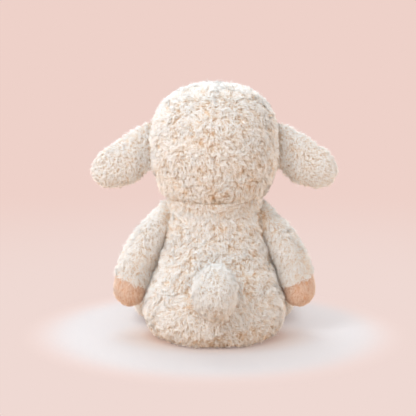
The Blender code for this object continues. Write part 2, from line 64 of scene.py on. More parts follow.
# Sizes of the CAD and of the toy's dress: lengths in metres, angles in degrees, and shares of them
BODY_HEIGHT = 0.140
BODY_WIDTH = 2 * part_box("back_panel_left")[1].x
BODY_DEPTH = 2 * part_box("back_panel_left")[1].y
BODY_SHARES = (  # height, width, depth
    (0.0, 0.66, 0.66),
    (0.05, 0.90, 0.90),
    (0.115, 0.975, 0.975),
    (0.215, 1.0, 1.0),
    (0.32, 0.97, 0.985),
    (0.43, 0.894, 0.93),
    (0.60, 0.775, 0.81),
    (0.80, 0.672, 0.715),
    (0.890, 0.645, 0.705),
    (0.935, 0.630, 0.700),
    (0.955, 0.605, 0.675),
)
NECK_RADIUS = 0.031
BODY_NECK_SLOPE = 7.5
SEAT_SEAM_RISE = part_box("belly_panel")[0].z
SIDE_SEAM_FORWARD = 0.012
HEAD_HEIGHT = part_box("crown_panel")[1].z - BODY_HEIGHT
HEAD_WIDTH = 2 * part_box("head_back_left")[1].x
HEAD_DEPTH = 2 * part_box("head_back_left")[1].y
HEAD_SHARES = (  # height, width, depth
    (0.085, 0.808, 0.84),
    (0.18, 0.896, 0.915),
    (0.32, 0.976, 0.98),
    (0.50, 1.0, 1.0),
    (0.61, 0.986, 0.99),
    (0.73, 0.93, 0.935),
    (0.84, 0.81, 0.82),
    (0.94, 0.57, 0.58),
    (1.0, 0.0, 0.0),
)
HEAD_RIM_RADIUS = 0.0465
HEAD_NECK_SLOPE = 8.5
CROWN_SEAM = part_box("crown_panel")[0].z
FACE_SEAM_FORWARD = 0.034
MUZZLE_SIZE = (0.056, 0.062, 0.042)
MUZZLE_RISE = 0.038
MUZZLE_BACK = 0.006
NOSE_SIZE = (0.016, 0.006, 0.010)
NOSE_LIFT = 0.008
NOSE_STITCHES = 19
MOUTH_WIDTH = 0.022
MOUTH_DROP = 0.004
MOUTH_CURVE = 0.004
EYE_SPACING = 0.046
EYE_RISE = 0.066
EYE_DIAMETER = 0.011
EYE_BULGE = 0.0042
EYE_SHANK = (0.002, 0.0085)  # radius and length
EAR_RISE = 0.056
EAR_REACH = 0.0567
EAR_DROP = 0.028
EAR_HEIGHT = 0.050
EAR_THICKNESS = 0.016
EAR_ROOT = 0.003
EAR_ROOT_SHARES = (  # outward and thickness in root radii, height in ear heights
    (-2.4, 0.80, 0.80),
    (-1.3, 1.15, 0.86),
    (0.0, 1.55, 0.92),
)
EAR_SHARES = (  # outward, droop, height, thickness
    (0.10, 0.15, 0.97, 0.74),
    (0.24, 0.35, 1.02, 1.0),
    (0.45, 0.54, 0.97, 1.06),
    (0.62, 0.69, 0.87, 1.04),
    (0.80, 0.80, 0.72, 0.92),
    (0.93, 0.86, 0.47, 0.64),
    (1.0, 0.88, 0.0, 0.0),
)
SHOULDER = (0.0467, 0.1265)
SHOULDER_GATHER = 0.0105
ARM_OUTLINE = (  # the outer and the inner edge, each outward and up, and the half depth
    (0.0450, 0.1388, 0.0450, 0.1388, 0.0),
    (0.0520, 0.1368, 0.0370, 0.1320, 0.0085),
    (0.0575, 0.1318, 0.0390, 0.1235, 0.0130),
    (0.0648, 0.1238, 0.0430, 0.1130, 0.0155),
    (0.0740, 0.1150, 0.0480, 0.1035, 0.0172),
    (0.0840, 0.1025, 0.0522, 0.0925, 0.0180),
    (0.0918, 0.0890, 0.0562, 0.0818, 0.0184),
    (0.0975, 0.0750, 0.0608, 0.0710, 0.0184),
    (0.1015, 0.0620, 0.0650, 0.0600, 0.0180),
    (0.1036, 0.0500, 0.0685, 0.0490, 0.0174),
    (0.1030, 0.0430, 0.0712, 0.0415, 0.0162),
    (0.0995, 0.0365, 0.0755, 0.0352, 0.0130),
    (0.0945, 0.0326, 0.0815, 0.0318, 0.0080),
    (0.0883, 0.0310, 0.0883, 0.0310, 0.0),
)
ARM_SEAM = (0.0854, 0.0, 0.0605)
ARM_SEAM_FACES = (0.407, 0.0, -0.914)
HIP_ANGLE = -35.0
LEG_REACH = 0.087
LEG_SPREAD = 0.004
LEG_WIDTH = 0.0370
LEG_FULLNESS = 1.13
LEG_HEIGHT = 0.0366
LEG_GATHER = 0.0065
FLOOR_GAP = 0.0005
LEG_SHARES = (  # forward, outward, width, height
    (0.04, 0.20, 0.56, 0.54),
    (0.13, 0.50, 0.94, 0.90),
    (0.28, 0.66, 1.0, 0.99),
    (0.52, 0.74, 0.98, 0.98),
    (0.70, 0.82, 0.98, 0.985),
    (0.86, 0.92, 1.0, 1.0),
    (0.96, 0.98, 0.76, 0.76),
    (1.0, 1.0, 0.0, 0.0),
)
LEG_SEAM_ROW = 4
TAIL_RISE = 0.062
TAIL_LIFT = 0.0022
TAIL_REACH = 0.038
TAIL_WIDTH = 0.0410
TAIL_HEIGHT = 0.0535
TAIL_SHARES = (  # rearward, width, height
    (0.0, 0.0, 0.0),
    (0.07, 0.29, 0.235),
    (0.16, 0.50, 0.46),
    (0.26, 0.76, 0.73),
    (0.38, 0.935, 0.925),
    (0.54, 1.0, 1.0),
    (0.76, 0.87, 0.87),
    (0.93, 0.51, 0.51),
    (1.0, 0.0, 0.0),
)
CLOSING_BOTTOM = 0.014
CLOSING_TOP = 0.034
CLOSING_STITCHES = 5
NECK_STITCH_DROP = 0.0075
THREAD_DEPTH = 0.0030
NECK_CREASE = 0.1462
NECK_CREASE_REACH = 0.0030
NECK_FLEECE = (  # rise above the neck's middle, radius: a plug with a collar round it
    (-0.0180, 0.0),
    (-0.0160, 0.012),
    (-0.0150, 0.030),
    (-0.0130, 0.0415),
    (-0.0080, 0.0446),
    (-0.0020, 0.0458),
    (0.0035, 0.0462),
    (0.0066, 0.0440),
    (0.0078, 0.036),
    (0.0095, 0.020),
    (0.0140, 0.010),
    (0.0180, 0.0),
)
GAP = 0.0003
STEPS = 20  # sections to each row of a table

# The stage, in metres
FLOOR_RINGS = (0.0, 0.05, 0.1, 0.2, 0.3, 0.45, 0.7, 1.2, 2.5, 5.0)
POOL_RADII = (0.192, 0.162)  # of the pool of light
POOL_SHIFT = 0.075  # toward the front, in its radii
PAINTED_SHADOW_RADII = (0.118, 0.070)  # of the painted warm shadow round the toy's base on the floor
PAINTED_SHADOW_SHIFT = -0.10  # toward the back, in its radii
LAMPS_AIM = Vector((0, 0, 0.12))
CAMERA_AIM = Vector((0.0066, 0, 0.1326))

LEFT, RIGHT = 1, -1
SIDES = (("left", LEFT), ("right", RIGHT))
MAP_NAME = "OFBake"
UNDER_MAP = (0.02, 0.22)  # the part of the map, up it, that the backing has
LOCK_MAP = (0.28, 0.98)  # and the part that the locks have, root to tip
BAND = 0.05  # how wide one lock is on the map
PIECE_TRIANGLES = 190000  # the most that one piece holds
BACKING_STEP = 0.0013  # how far apart the backing's points are
ROOT_DEPTH = 0.0004  # how far under the backing a strand starts
FLOOR_CLEAR = 0.0003  # the lowest that pile hangs
# Low tones paint shade, in creases and where parts meet.
MIDDLE_TONE = 0.60  # a strand's usual tone, from 0, deep and warm, to 1, pale
MIDDLE_HEIGHT = 0.6  # on a curl that stands this high, from 0 to 1
ROW_GAP = 0.87  # rows of strands are this share of their spacing apart
ASTRAY = 0.9  # how far a strand may be from its even place, in spacings
LOOSE_SHARE = 0.085  # of the strands
LAST_RING = 0.86  # how far along a strand its last ring of points is
SEAM_STRAY = 0.0016  # how far a sleeve's edge wanders
SEAM_LAP = 0.0006  # how far a sleeve's pile laps over the hoof
UP, ACROSS, REARWARD = (0, 0, 1), (1, 0, 0), (0, 1, 0)


# Shapes

SKIN_STEP = 0.0012  # how far along a form its slope is read
SKIN_TURN = 0.05  # and how far round it, in radians
TIP_CLEAR = 0.0002  # how near its ends
NECK_WIDTH = 0.012  # half the width at which an upright form closes


def unit(vectors):
    """The vectors at a length of 1."""
    return vectors / np.maximum(np.linalg.norm(vectors, axis=-1, keepdims=True), 1e-12)


def square_to(normals, vectors):
    """The part of each vector that is square to a unit normal."""
    return vectors - normals * (vectors * normals).sum(axis=-1, keepdims=True)


def smooth(rows, sizes=2):
    """Rows on a smooth curve through the given ones.

    The last values of a row are its sizes. At a tip they are zero, and run on through it.
    """

    def past(row, toward):
        if row[-1]:
            return tuple(2 * here - there for here, there in zip(row, toward))
        return tuple(there * (-1 if here == 0 and place >= len(row) - sizes else 1)
                     for place, (here, there) in enumerate(zip(row, toward)))

    points = np.array([past(rows[0], rows[1]), *rows, past(rows[-1], rows[-2])])
    spans = np.maximum(np.linalg.norm(np.diff(points, axis=0), axis=1), 1e-9)[:, None]
    steps = np.diff(points, axis=0)
    slopes = (steps[:-1] * spans[1:] / spans[:-1] + steps[1:] * spans[:-1] / spans[1:])
    slopes = slopes / (spans[:-1] + spans[1:])
    made = []
    for i in range(len(rows) - 1):
        a, b, span = points[i + 1], points[i + 2], spans[i + 1]
        for step in range(STEPS):
            t = step / STEPS
            made.append((2 * t**3 - 3 * t**2 + 1) * a + (t**3 - 2 * t**2 + t) * span * slopes[i]
                        + (3 * t**2 - 2 * t**3) * b + (t**3 - t**2) * span * slopes[i + 1])
    made.append(points[-2])
    return made


def neck_rows(slope, way, rim):
    """The neck's gentle cone, from its middle to its rim."""
    return [(BODY_HEIGHT + way * (GAP / 2 + radius * math.tan(math.radians(slope))), radius, radius)
            for radius in (0, rim / 2, rim)]


def upright_ovals(rows):
    """Level ovals, each a height, a half width and a half depth."""
    return [((0, 0, z), (w, 0, 0), (0, d, 0)) for z, w, d in rows]


class Form:
    """A stuffed form: ovals along a line, each a middle and two half sizes, closed at both ends."""

    def __init__(self, ovals):
        rows = np.array([[*middle, *across, *along] for middle, across, along in ovals], float)
        for end in (0, -1):
            if np.linalg.norm(rows[end, 3:6]) > 1e-6:
                cap = rows[end].copy()
                cap[3:] = 0
                rows = np.vstack([cap, rows] if end == 0 else [rows, cap])
        angles = np.linspace(0, math.tau, 16, endpoint=False)
        ring = (rows[:, None, :3] + rows[:, None, 3:6] * np.cos(angles)[:, None]
                + rows[:, None, 6:] * np.sin(angles)[:, None])
        spans = np.linalg.norm(np.diff(ring, axis=0), axis=2).mean(axis=1)
        self.rows = rows
        self.places = np.concatenate([[0], np.cumsum(spans)])
        self.length = self.places[-1]
        half = np.array([self.length / 2])
        middle = self.parts(half)[0][0]
        point, normal = self.skin(half, np.zeros(1), 1)
        self.way = 1 if ((point - middle) * normal).sum() > 0 else -1

    def parts(self, place):
        """The middle and the half sizes at each place along the form."""
        made = np.stack([np.interp(place, self.places, column) for column in self.rows.T], axis=-1)
        return made[..., :3], made[..., 3:6], made[..., 6:]

    def at(self, place, angle):
        """The points at places along the form and angles round it."""
        middle, across, along = self.parts(place)
        return middle + across * np.cos(angle)[..., None] + along * np.sin(angle)[..., None]

    def skin(self, place, angle, way=None):
        """The points there, and the outward normals."""
        place = np.clip(place, TIP_CLEAR, self.length - TIP_CLEAR)
        up = self.at(np.minimum(place + SKIN_STEP, self.length), angle)
        up = up - self.at(np.maximum(place - SKIN_STEP, 0), angle)
        turn = self.at(place, angle + SKIN_TURN) - self.at(place, angle - SKIN_TURN)
        return self.at(place, angle), unit(np.cross(turn, up) * (way or self.way))


def body_form():
    rows = [(BODY_HEIGHT * h, BODY_WIDTH / 2 * w, BODY_DEPTH / 2 * d) for h, w, d in BODY_SHARES]
    neck = neck_rows(BODY_NECK_SLOPE, -1, NECK_RADIUS)
    return Form(upright_ovals([*smooth(rows + [neck[2]]), neck[1], neck[0]]))


def head_form():
    rows = [(BODY_HEIGHT + HEAD_HEIGHT * h, HEAD_WIDTH / 2 * w, HEAD_DEPTH / 2 * d)
            for h, w, d in HEAD_SHARES]
    neck = neck_rows(HEAD_NECK_SLOPE, 1, HEAD_RIM_RADIUS)
    return Form(upright_ovals([neck[0], neck[1], *smooth([neck[2]] + rows)]))


BODY = body_form()
HEAD = head_form()


def on_form(form, angle, height):
    """The point of an upright form at an angle in radians and a height, and the normal there."""
    open_rows = form.rows[:, 3] > NECK_WIDTH
    place = np.interp(height, form.rows[open_rows, 2], form.places[open_rows])
    point, normal = form.skin(np.array([place]), np.array([angle]))
    return Vector(point[0]), Vector(normal[0])


def arm_form(way):
    rows = [((x + a) / 2, (z + b) / 2, (x - a) / 2, (z - b) / 2, deep)
            for x, z, a, b, deep in ARM_OUTLINE]
    return Form([((way * x, 0, z), (way * wide, 0, tall), (0, deep, 0))
                 for x, z, wide, tall, deep in smooth(rows, 3)])


def leg_root(way):
    """Where a leg's gathered end sits, beside the body."""
    height = LEG_HEIGHT / 2 + FLOOR_GAP
    point, normal = on_form(BODY, math.radians(HIP_ANGLE), height)
    level = Vector((normal.x, normal.y, 0)).normalized()
    root = point + level * (LEG_GATHER + GAP)
    return Vector((way * root.x, root.y, height))


def leg_form(way):
    root = leg_root(way)
    ovals = [((root.x + way * LEG_SPREAD * out, root.y - LEG_REACH * ahead, root.z),
              (LEG_WIDTH / 2 * wide * LEG_FULLNESS, 0, 0), (0, 0, LEG_HEIGHT / 2 * tall))
             for ahead, out, wide, tall in smooth(LEG_SHARES)]
    return Form(ovals), ovals[LEG_SEAM_ROW * STEPS]


def ear_form(way):
    height = BODY_HEIGHT + EAR_RISE
    root = on_form(HEAD, 0, height)[0].x + EAR_ROOT + GAP
    rows = [(EAR_ROOT * out, 0, EAR_HEIGHT / 2 * tall, EAR_ROOT * thick)
            for out, thick, tall in EAR_ROOT_SHARES]
    rows += [(EAR_REACH * out, EAR_DROP * droop, EAR_HEIGHT / 2 * tall, EAR_THICKNESS / 2 * thick)
             for out, droop, tall, thick in EAR_SHARES]
    return Form([((way * (root + out), 0, height - droop), (0, 0, tall), (0, thick, 0))
                 for out, droop, tall, thick in smooth(rows)])


def tail_form():
    start = on_form(BODY, math.pi / 2, TAIL_RISE)[0].y + GAP
    return Form([((0, start + TAIL_REACH * rear, TAIL_RISE + TAIL_LIFT * wide),
                  (TAIL_WIDTH / 2 * wide, 0, 0), (0, 0, TAIL_HEIGHT / 2 * tall))
                 for rear, wide, tall in smooth(TAIL_SHARES)])


def ball_form(middle, half_sizes, steps=36):
    """A ball of three half sizes whose ends point forward and rearward."""
    ovals = []
    for i in range(steps + 1):
        turn = math.pi * i / steps
        size = math.sin(turn) if 0 < i < steps else 0
        ovals.append(((middle[0], middle[1] - half_sizes[1] * math.cos(turn), middle[2]),
                      (half_sizes[0] * size, 0, 0), (0, 0, half_sizes[2] * size)))
    return Form(ovals)


# Curls of the fleece

LATTICE = 32
SLOPES = unit(np.random.default_rng(11).normal(size=(LATTICE, LATTICE, LATTICE, 3)))


def swells(points, size, shift=0.0):
    """Smooth noise from -1 to 1 that changes over a size in metres."""
    spot = points / size + shift
    cell = np.floor(spot).astype(int)
    inside = spot - cell
    ease = inside**3 * (inside * (inside * 6 - 15) + 10)
    total = np.zeros(len(points))
    for corner in np.ndindex(2, 2, 2):
        which = np.array(corner)
        slope = SLOPES[tuple(((cell + which) % LATTICE).T)]
        share = np.where(which, ease, 1 - ease).prod(axis=1)
        total += share * (slope * (inside - which)).sum(axis=1)
    return np.clip(total * 1.7, -1, 1)


def drift(points, size, shift):
    """Three swells as a vector."""
    return np.stack([swells(points, size, shift + 5.3 * i) for i in range(3)], axis=-1)


def curls(points, grain):
    """How high the fleece stands, from 0 in the creases between its curls to 1 on top of them."""
    bent = points + drift(points, grain * 1.6, 3.1) * grain * 0.45
    large = np.minimum(np.abs(swells(bent, grain, 0.7)) * 3.4, 1)
    small = np.minimum(np.abs(swells(bent, grain * 0.48, 9.2)) * 3.2, 1)
    return np.clip(0.62 * large + 0.38 * small, 0, 1) ** 0.8


# How each cloth's pile stands on its backing, in metres.
# spacing, rise, reach and width: the strands, where reach is how far over one lies
# inset, swell and grain: how deep the backing is in the form, and its curls' height and size
# curl and rings: a strand's bend to the side, and how many rings of points it has
# tuft, whorl and stray: the tufts' size, how closely they follow the curls and how loosely
# streak, bulge and patch: contrast between strands, lumps in the stuffing, and painted shade between
# curls, darker on low curls and paler on high ones
Pile = namedtuple("Pile", "spacing rise reach width inset swell grain curl rings tuft whorl stray streak"
                          " bulge patch")
BODY_PILE = Pile(0.00090, 0.0034, 0.0031, 0.00074, 0.0034, 0.0031, 0.0084,
                 0.0010, 3, 0.0028, 1.0, 0.6, 0.25, 0.0008, 0.52)
HEAD_PILE = BODY_PILE._replace(swell=0.0030, grain=0.0088, streak=0.2, bulge=0.0004, patch=0.46)
LIMB_PILE = Pile(0.00084, 0.0036, 0.0034, 0.00066, 0.0026, 0.0016, 0.0066,
                 0.0010, 3, 0.0026, 0.7, 0.85, 0.45, 0.0008, 0.3)
EAR_PILE = Pile(0.00084, 0.0032, 0.0028, 0.00066, 0.0021, 0.0014, 0.0058,
                0.0010, 3, 0.0024, 0.7, 0.85, 0.3, 0.0005, 0.3)
TAIL_PILE = Pile(0.00080, 0.0038, 0.0028, 0.00060, 0.0026, 0.0008, 0.0070,
                 0.0009, 3, 0.0024, 0.5, 1.0, 0.3, 0.0004, 0.3)
HOOF_PILE = Pile(0.00084, 0.0016, 0.0030, 0.00058, 0.0013, 0.0005, 0.0060,
                 0.0004, 2, 0.0020, 0.4, 0.3, 0.8, 0.0004, 0.3)
VELOUR_PILE = Pile(0.00090, 0.0010, 0.0011, 0.00045, 0.0007, 0.0003, 0.0045,
                   0.0, 2, 0.0016, 0.5, 0.35, 0.5, 0.0003, 0.3)


class Seam:
    """A flat cut through a form, where the cloth draws in, all round it or only toward side."""

    def __init__(self, point, normal, reach, depth=0.8, side=None):
        self.point, self.normal = np.array(point), unit(np.array(normal, float))
        self.reach, self.depth, self.side = reach, depth, side

    def nearness(self, points):
        away = points - self.point
        # The curls close over it here and there.
        shown = np.clip(0.6 + 1.1 * swells(points, 0.012, 6.1), 0, 1)
        made = self.depth * shown * np.exp(-((away @ self.normal / self.reach) ** 2))
        return made if self.side is None else made * (away @ np.array(self.side) > 0)


def ring_faces(rows, sides, closed=False):
    """Faces of four between rings of points, and how far along and round their corners are."""
    row, side = np.meshgrid(np.arange(rows if closed else rows - 1), np.arange(sides), indexing="ij")
    corners = np.array([[row, side], [row, side + 1], [row + 1, side + 1], [row + 1, side]])
    corners = corners.transpose(2, 3, 0, 1).reshape(-1, 4, 2)
    faces = corners[..., 0] % rows * sides + corners[..., 1] % sides
    return faces, (corners / (rows, sides)).reshape(-1, 2)


class Cloth:
    """The backing under a form's pile, on a grid of places along the form and angles round it."""

    def __init__(self, form, pile, comb=None, seams=()):
        self.form, self.pile = form, pile
        turns = np.linspace(0, math.tau, 65)
        rings = [form.at(np.full(65, form.length * share), turns)
                 for share in (0.15, 0.3, 0.5, 0.7, 0.85)]
        girth = max(np.linalg.norm(np.diff(ring, axis=0), axis=1).sum() for ring in rings)
        self.rows = max(8, round(form.length / BACKING_STEP))
        self.sides = max(12, round(girth / BACKING_STEP))
        place, angle = np.meshgrid(np.linspace(0, form.length, self.rows + 1),
                                   np.linspace(0, math.tau, self.sides, endpoint=False), indexing="ij")
        self.level = place.ravel() / form.length
        self.flat, self.normals = form.skin(place.ravel(), angle.ravel())
        high = curls(self.flat, pile.grain)
        self.near = np.zeros(len(high))
        for seam in seams:
            self.near = np.maximum(self.near, seam.nearness(self.flat))
        stuffing = swells(self.flat, 0.013, 4.4) * pile.bulge + swells(self.flat, 0.030, 1.4) * 0.0004
        lift = -pile.inset + pile.swell * high + stuffing - self.near * pile.swell * 1.1
        self.points = self.flat + self.normals * lift[:, None]
        self.high = np.clip(high - 0.55 * self.near, 0, 1)
        along, around = self.steps(self.points)
        ups = np.cross(around, along) * form.way
        length = np.linalg.norm(ups, axis=1, keepdims=True)
        ups = np.where(length > 1e-12, ups / np.maximum(length, 1e-15), self.normals)
        self.ups = np.where((ups * self.normals).sum(axis=1, keepdims=True) < 0.1, self.normals, ups)
        self.lean = self.laid(comb)

    def grid(self, values):
        return values.reshape(self.rows + 1, self.sides, -1)

    def steps(self, values):
        """How values change from point to point, along the form and round it."""
        grid = self.grid(values)
        around = (np.roll(grid, -1, axis=1) - np.roll(grid, 1, axis=1)) / 2
        return (np.gradient(grid, axis=0).reshape(len(values), -1), around.reshape(len(values), -1))

    def laid(self, comb):
        """The way that the locks lie: along the ridges of the curls, and as the cloth is combed."""
        along, around = self.steps(self.flat)
        rises = self.steps(self.high)
        uphill = np.zeros_like(self.flat)
        for step, rise in zip((along, around), rises):
            uphill += step * rise / np.maximum((step**2).sum(axis=1, keepdims=True), 1e-9)
        uphill /= np.linalg.norm(uphill, axis=1, keepdims=True) + 25
        flow = drift(self.flat, self.pile.grain * 2.1, 6.6)
        if comb is not None:
            flow = flow + comb(self.flat)
        flow = unit(square_to(self.normals, flow))
        ridge = np.cross(self.normals, uphill)
        ridge *= np.where((ridge * flow).sum(axis=1, keepdims=True) < 0, -1, 1)
        return ridge * self.pile.whorl + flow * 0.55 - uphill * 0.4

    def read(self, place, angle, *kinds):
        """The grid's values at places and angles."""
        row = np.clip(place / self.form.length, 0, 1) * self.rows
        side = angle / math.tau % 1 * self.sides
        low, here = np.minimum(row.astype(int), self.rows - 1), side.astype(int) % self.sides
        beside = (here + 1) % self.sides
        up, over = (row - low)[:, None], (side - np.floor(side))[:, None]
        made = []
        for values in kinds:
            grid = self.grid(values)
            below = grid[low, here] * (1 - over) + grid[low, beside] * over
            above = grid[low + 1, here] * (1 - over) + grid[low + 1, beside] * over
            made.append(below * (1 - up) + above * up)
        return made

    def backing(self, holds):
        """The backing as points, faces of four, their places on the map and normals."""
        faces = ring_faces(self.rows + 1, self.sides)[0]
        faces = faces[holds(self.flat[faces].mean(axis=1))][:, ::self.form.way]
        used, faces = np.unique(faces, return_inverse=True)
        # The backing's tone is painted shade: lower where its curls are low.
        tone = np.clip(self.high[used] * 0.5 + 0.1, 0.02, 0.98)
        low, high = UNDER_MAP
        spots = np.stack([tone, low + (high - low) * self.level[used]], axis=-1)
        return self.points[used], faces.reshape(-1, 4), spots, self.ups[used]


def scatter(form, spacing, chance):
    """Places and angles spread evenly over a form, each a little astray."""
    places, angles = [], []
    round_ring = np.linspace(0, math.tau, 73)
    for place in np.arange(spacing / 2, form.length, spacing * ROW_GAP):
        ring = form.at(np.full(73, place), round_ring)
        along = np.concatenate([[0], np.cumsum(np.linalg.norm(np.diff(ring, axis=0), axis=1))])
        count = max(1, round(along[-1] / spacing))
        spots = (np.arange(count) + chance.random()) / count * along[-1]
        spots += (chance.random(count) - 0.5) * spacing * ASTRAY
        angles.append(np.interp(spots % along[-1], along, round_ring))
        places.append(np.clip(place + (chance.random(count) - 0.5) * spacing * ASTRAY, 0, form.length))
    return np.concatenate(places), np.concatenate(angles)


def locks(points, normals, lean, size, tone, pile, chance):
    """Short curved locks: each a three-sided strand that rises, bends over and tapers."""
    count = len(points)
    lean = unit(square_to(normals, lean))
    aside = np.cross(normals, lean)
    hand = np.where(chance.random(count) < 0.5, -1.0, 1.0)[:, None]
    # Some strands stand loose, longer and finer than the rest.
    loose = chance.random(count) < LOOSE_SHARE
    reach = (pile.reach * size * (0.65 + 0.7 * chance.random(count)))[:, None]
    rise = (pile.rise * size * (0.7 + 0.6 * chance.random(count)) * np.where(loose, 1.4, 1))[:, None]
    curl = (pile.curl * size)[:, None] * hand
    width = (pile.width * (0.8 + 0.4 * chance.random(count)) * np.where(loose, 0.6, 1))[:, None]

    def spine(along):
        up = math.sin(min(1.0, float(along) * 1.12) * math.pi / 2)
        return (points + normals * rise * up + lean * reach * max(along, 0.0) ** 1.5
                + aside * curl * math.sin(along * math.pi * 1.25))

    rings = np.linspace(0, LAST_RING, pile.rings)
    made = []
    for along in rings:
        here = spine(along)
        ahead = unit(spine(along + 0.05) - spine(along - 0.05))
        flat = unit(square_to(ahead, aside))
        over = np.cross(ahead, flat)
        broad = width / 2 * (1 - 0.62 * along**1.6)
        for turn in (90, 210, 330):
            c, s = math.cos(math.radians(turn)), math.sin(math.radians(turn))
            made.append(here + flat * broad * c + over * broad * s * 0.8)
    made.append(spine(1.0))
    stack = np.stack(made, axis=1)
    base = np.arange(count)[:, None, None] * stack.shape[1]
    sides = ring_faces(pile.rings, 3)[0]
    last = 3 * (pile.rings - 1)
    tips = np.array([(last + k, last + (k + 1) % 3, last + 3) for k in range(3)])
    side_spots = [[(k, low), (k + 1, low), (k + 1, high), (k, high)]
                  for low, high in zip(rings, rings[1:]) for k in range(3)]
    tip_spots = [[(k, rings[-1]), (k + 1, rings[-1]), (k + 0.5, 1.0)] for k in range(3)]

    def spots_of(layout):
        layout = np.array(layout, float)
        across = tone[:, None, None] + BAND * (layout[None, :, :, 0] / 3 - 0.5)
        low, high = LOCK_MAP
        up = np.broadcast_to(low + (high - low) * layout[None, :, :, 1], across.shape)
        return np.stack([across, up], axis=-1).reshape(-1, 2)

    return (stack.reshape(-1, 3), (base + sides).reshape(-1, 4), spots_of(side_spots),
            (base + tips).reshape(-1, 3), spots_of(tip_spots))


def mesh_of(name, points, quads, quad_spots, tris=None, tri_spots=None, facing=None):
    """A smooth mesh of four- and three-sided faces with its places on the map.

    facing is the way that each point is shaded, where that isn't its own normal.
    """
    tris = np.zeros((0, 3), int) if tris is None else tris
    tri_spots = np.zeros((0, 2)) if tri_spots is None else tri_spots
    mesh = bpy.data.meshes.new(name)
    mesh.vertices.add(len(points))
    mesh.vertices.foreach_set("co", np.ascontiguousarray(points, np.float32).ravel())
    corners = np.concatenate([quads.ravel(), tris.ravel()]).astype(np.int32)
    mesh.loops.add(len(corners))
    mesh.loops.foreach_set("vertex_index", corners)
    starts = np.concatenate([np.arange(len(quads)) * 4, 4 * len(quads) + np.arange(len(tris)) * 3])
    mesh.polygons.add(len(quads) + len(tris))
    mesh.polygons.foreach_set("loop_start", starts.astype(np.int32))
    layer = mesh.uv_layers.new(name=MAP_NAME)
    spots = np.concatenate([quad_spots, tri_spots]).astype(np.float32)
    layer.uv.foreach_set("vector", spots.ravel())
    mesh.update(calc_edges=True)
    mesh.validate()
    mesh.shade_smooth()
    if facing is not None:
        mesh.normals_split_custom_set_from_vertices(facing.astype(np.float32))
    return mesh


def show(meshes, material, body, slot, nodes=(), fill=None, onto=None, heights=()):
    """Put a piece in the scene on its CAD body, and hide the CAD nodes that it stands for.

    Where onto is given, the piece's place is baked into its mesh instead of putting it on body. heights is
    not used.
    """
    for mesh in meshes:
        piece = bpy.data.objects.new(mesh.name, mesh)
        mesh.materials.append(material)
        bpy.context.scene.collection.objects.link(piece)
        if onto:
            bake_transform(piece)
        else:
            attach(piece, body)
    if nodes:
        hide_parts(*nodes)


ARMS = tuple(arm_form(way) for name, way in SIDES)
LEGS = tuple(leg_form(way)[0] for name, way in SIDES)
EARS = tuple(ear_form(way) for name, way in SIDES)
TAIL = tail_form()


def panel(low=-1, high=1, front=-1, back=1, way=0):
    """Tells which points are in a panel between two heights and two depths, on one side or both."""

    def holds(points):
        x, y, z = points.T
        inside = (low <= z) & (z < high) & (front <= y) & (y < back)
        return inside & ((x >= 0) == (way > 0)) if way else inside

    return holds


def room(points, form):
    """About how far each point is outside a form."""
    nearest = np.full(len(points), 1.0)
    step = max(1, len(form.rows) // 40)
    for row in form.rows[::step]:
        across, along = np.linalg.norm(row[3:6]), np.linalg.norm(row[6:])
        if min(across, along) < 0.002:
            continue
        away = points - row[:3]
        wide, deep = away @ row[3:6] / across, away @ row[6:] / along
        past = (np.sqrt((wide / across) ** 2 + (deep / along) ** 2) - 1) * min(across, along)
        off = np.sqrt(np.maximum((away**2).sum(axis=1) - wide**2 - deep**2, 0))
        nearest = np.minimum(nearest, np.sqrt(np.maximum(past, 0) ** 2 + off**2))
    return nearest


def tucked(points, beside, reach):
    """How deep each point is in the crease beside other forms, from 0 to 1: the mask of the shade painted
    there.
    """
    return np.max([np.maximum(1 - room(points, form) / reach, 0) for form in beside], axis=0)


def ringed(points):
    """How deep each point is in the crease of the neck, from 0 to 1: the mask of the shade painted there.
    """
    return np.clip(1 - np.abs(points[:, 2] - NECK_CREASE) / NECK_CREASE_REACH, 0, 1)


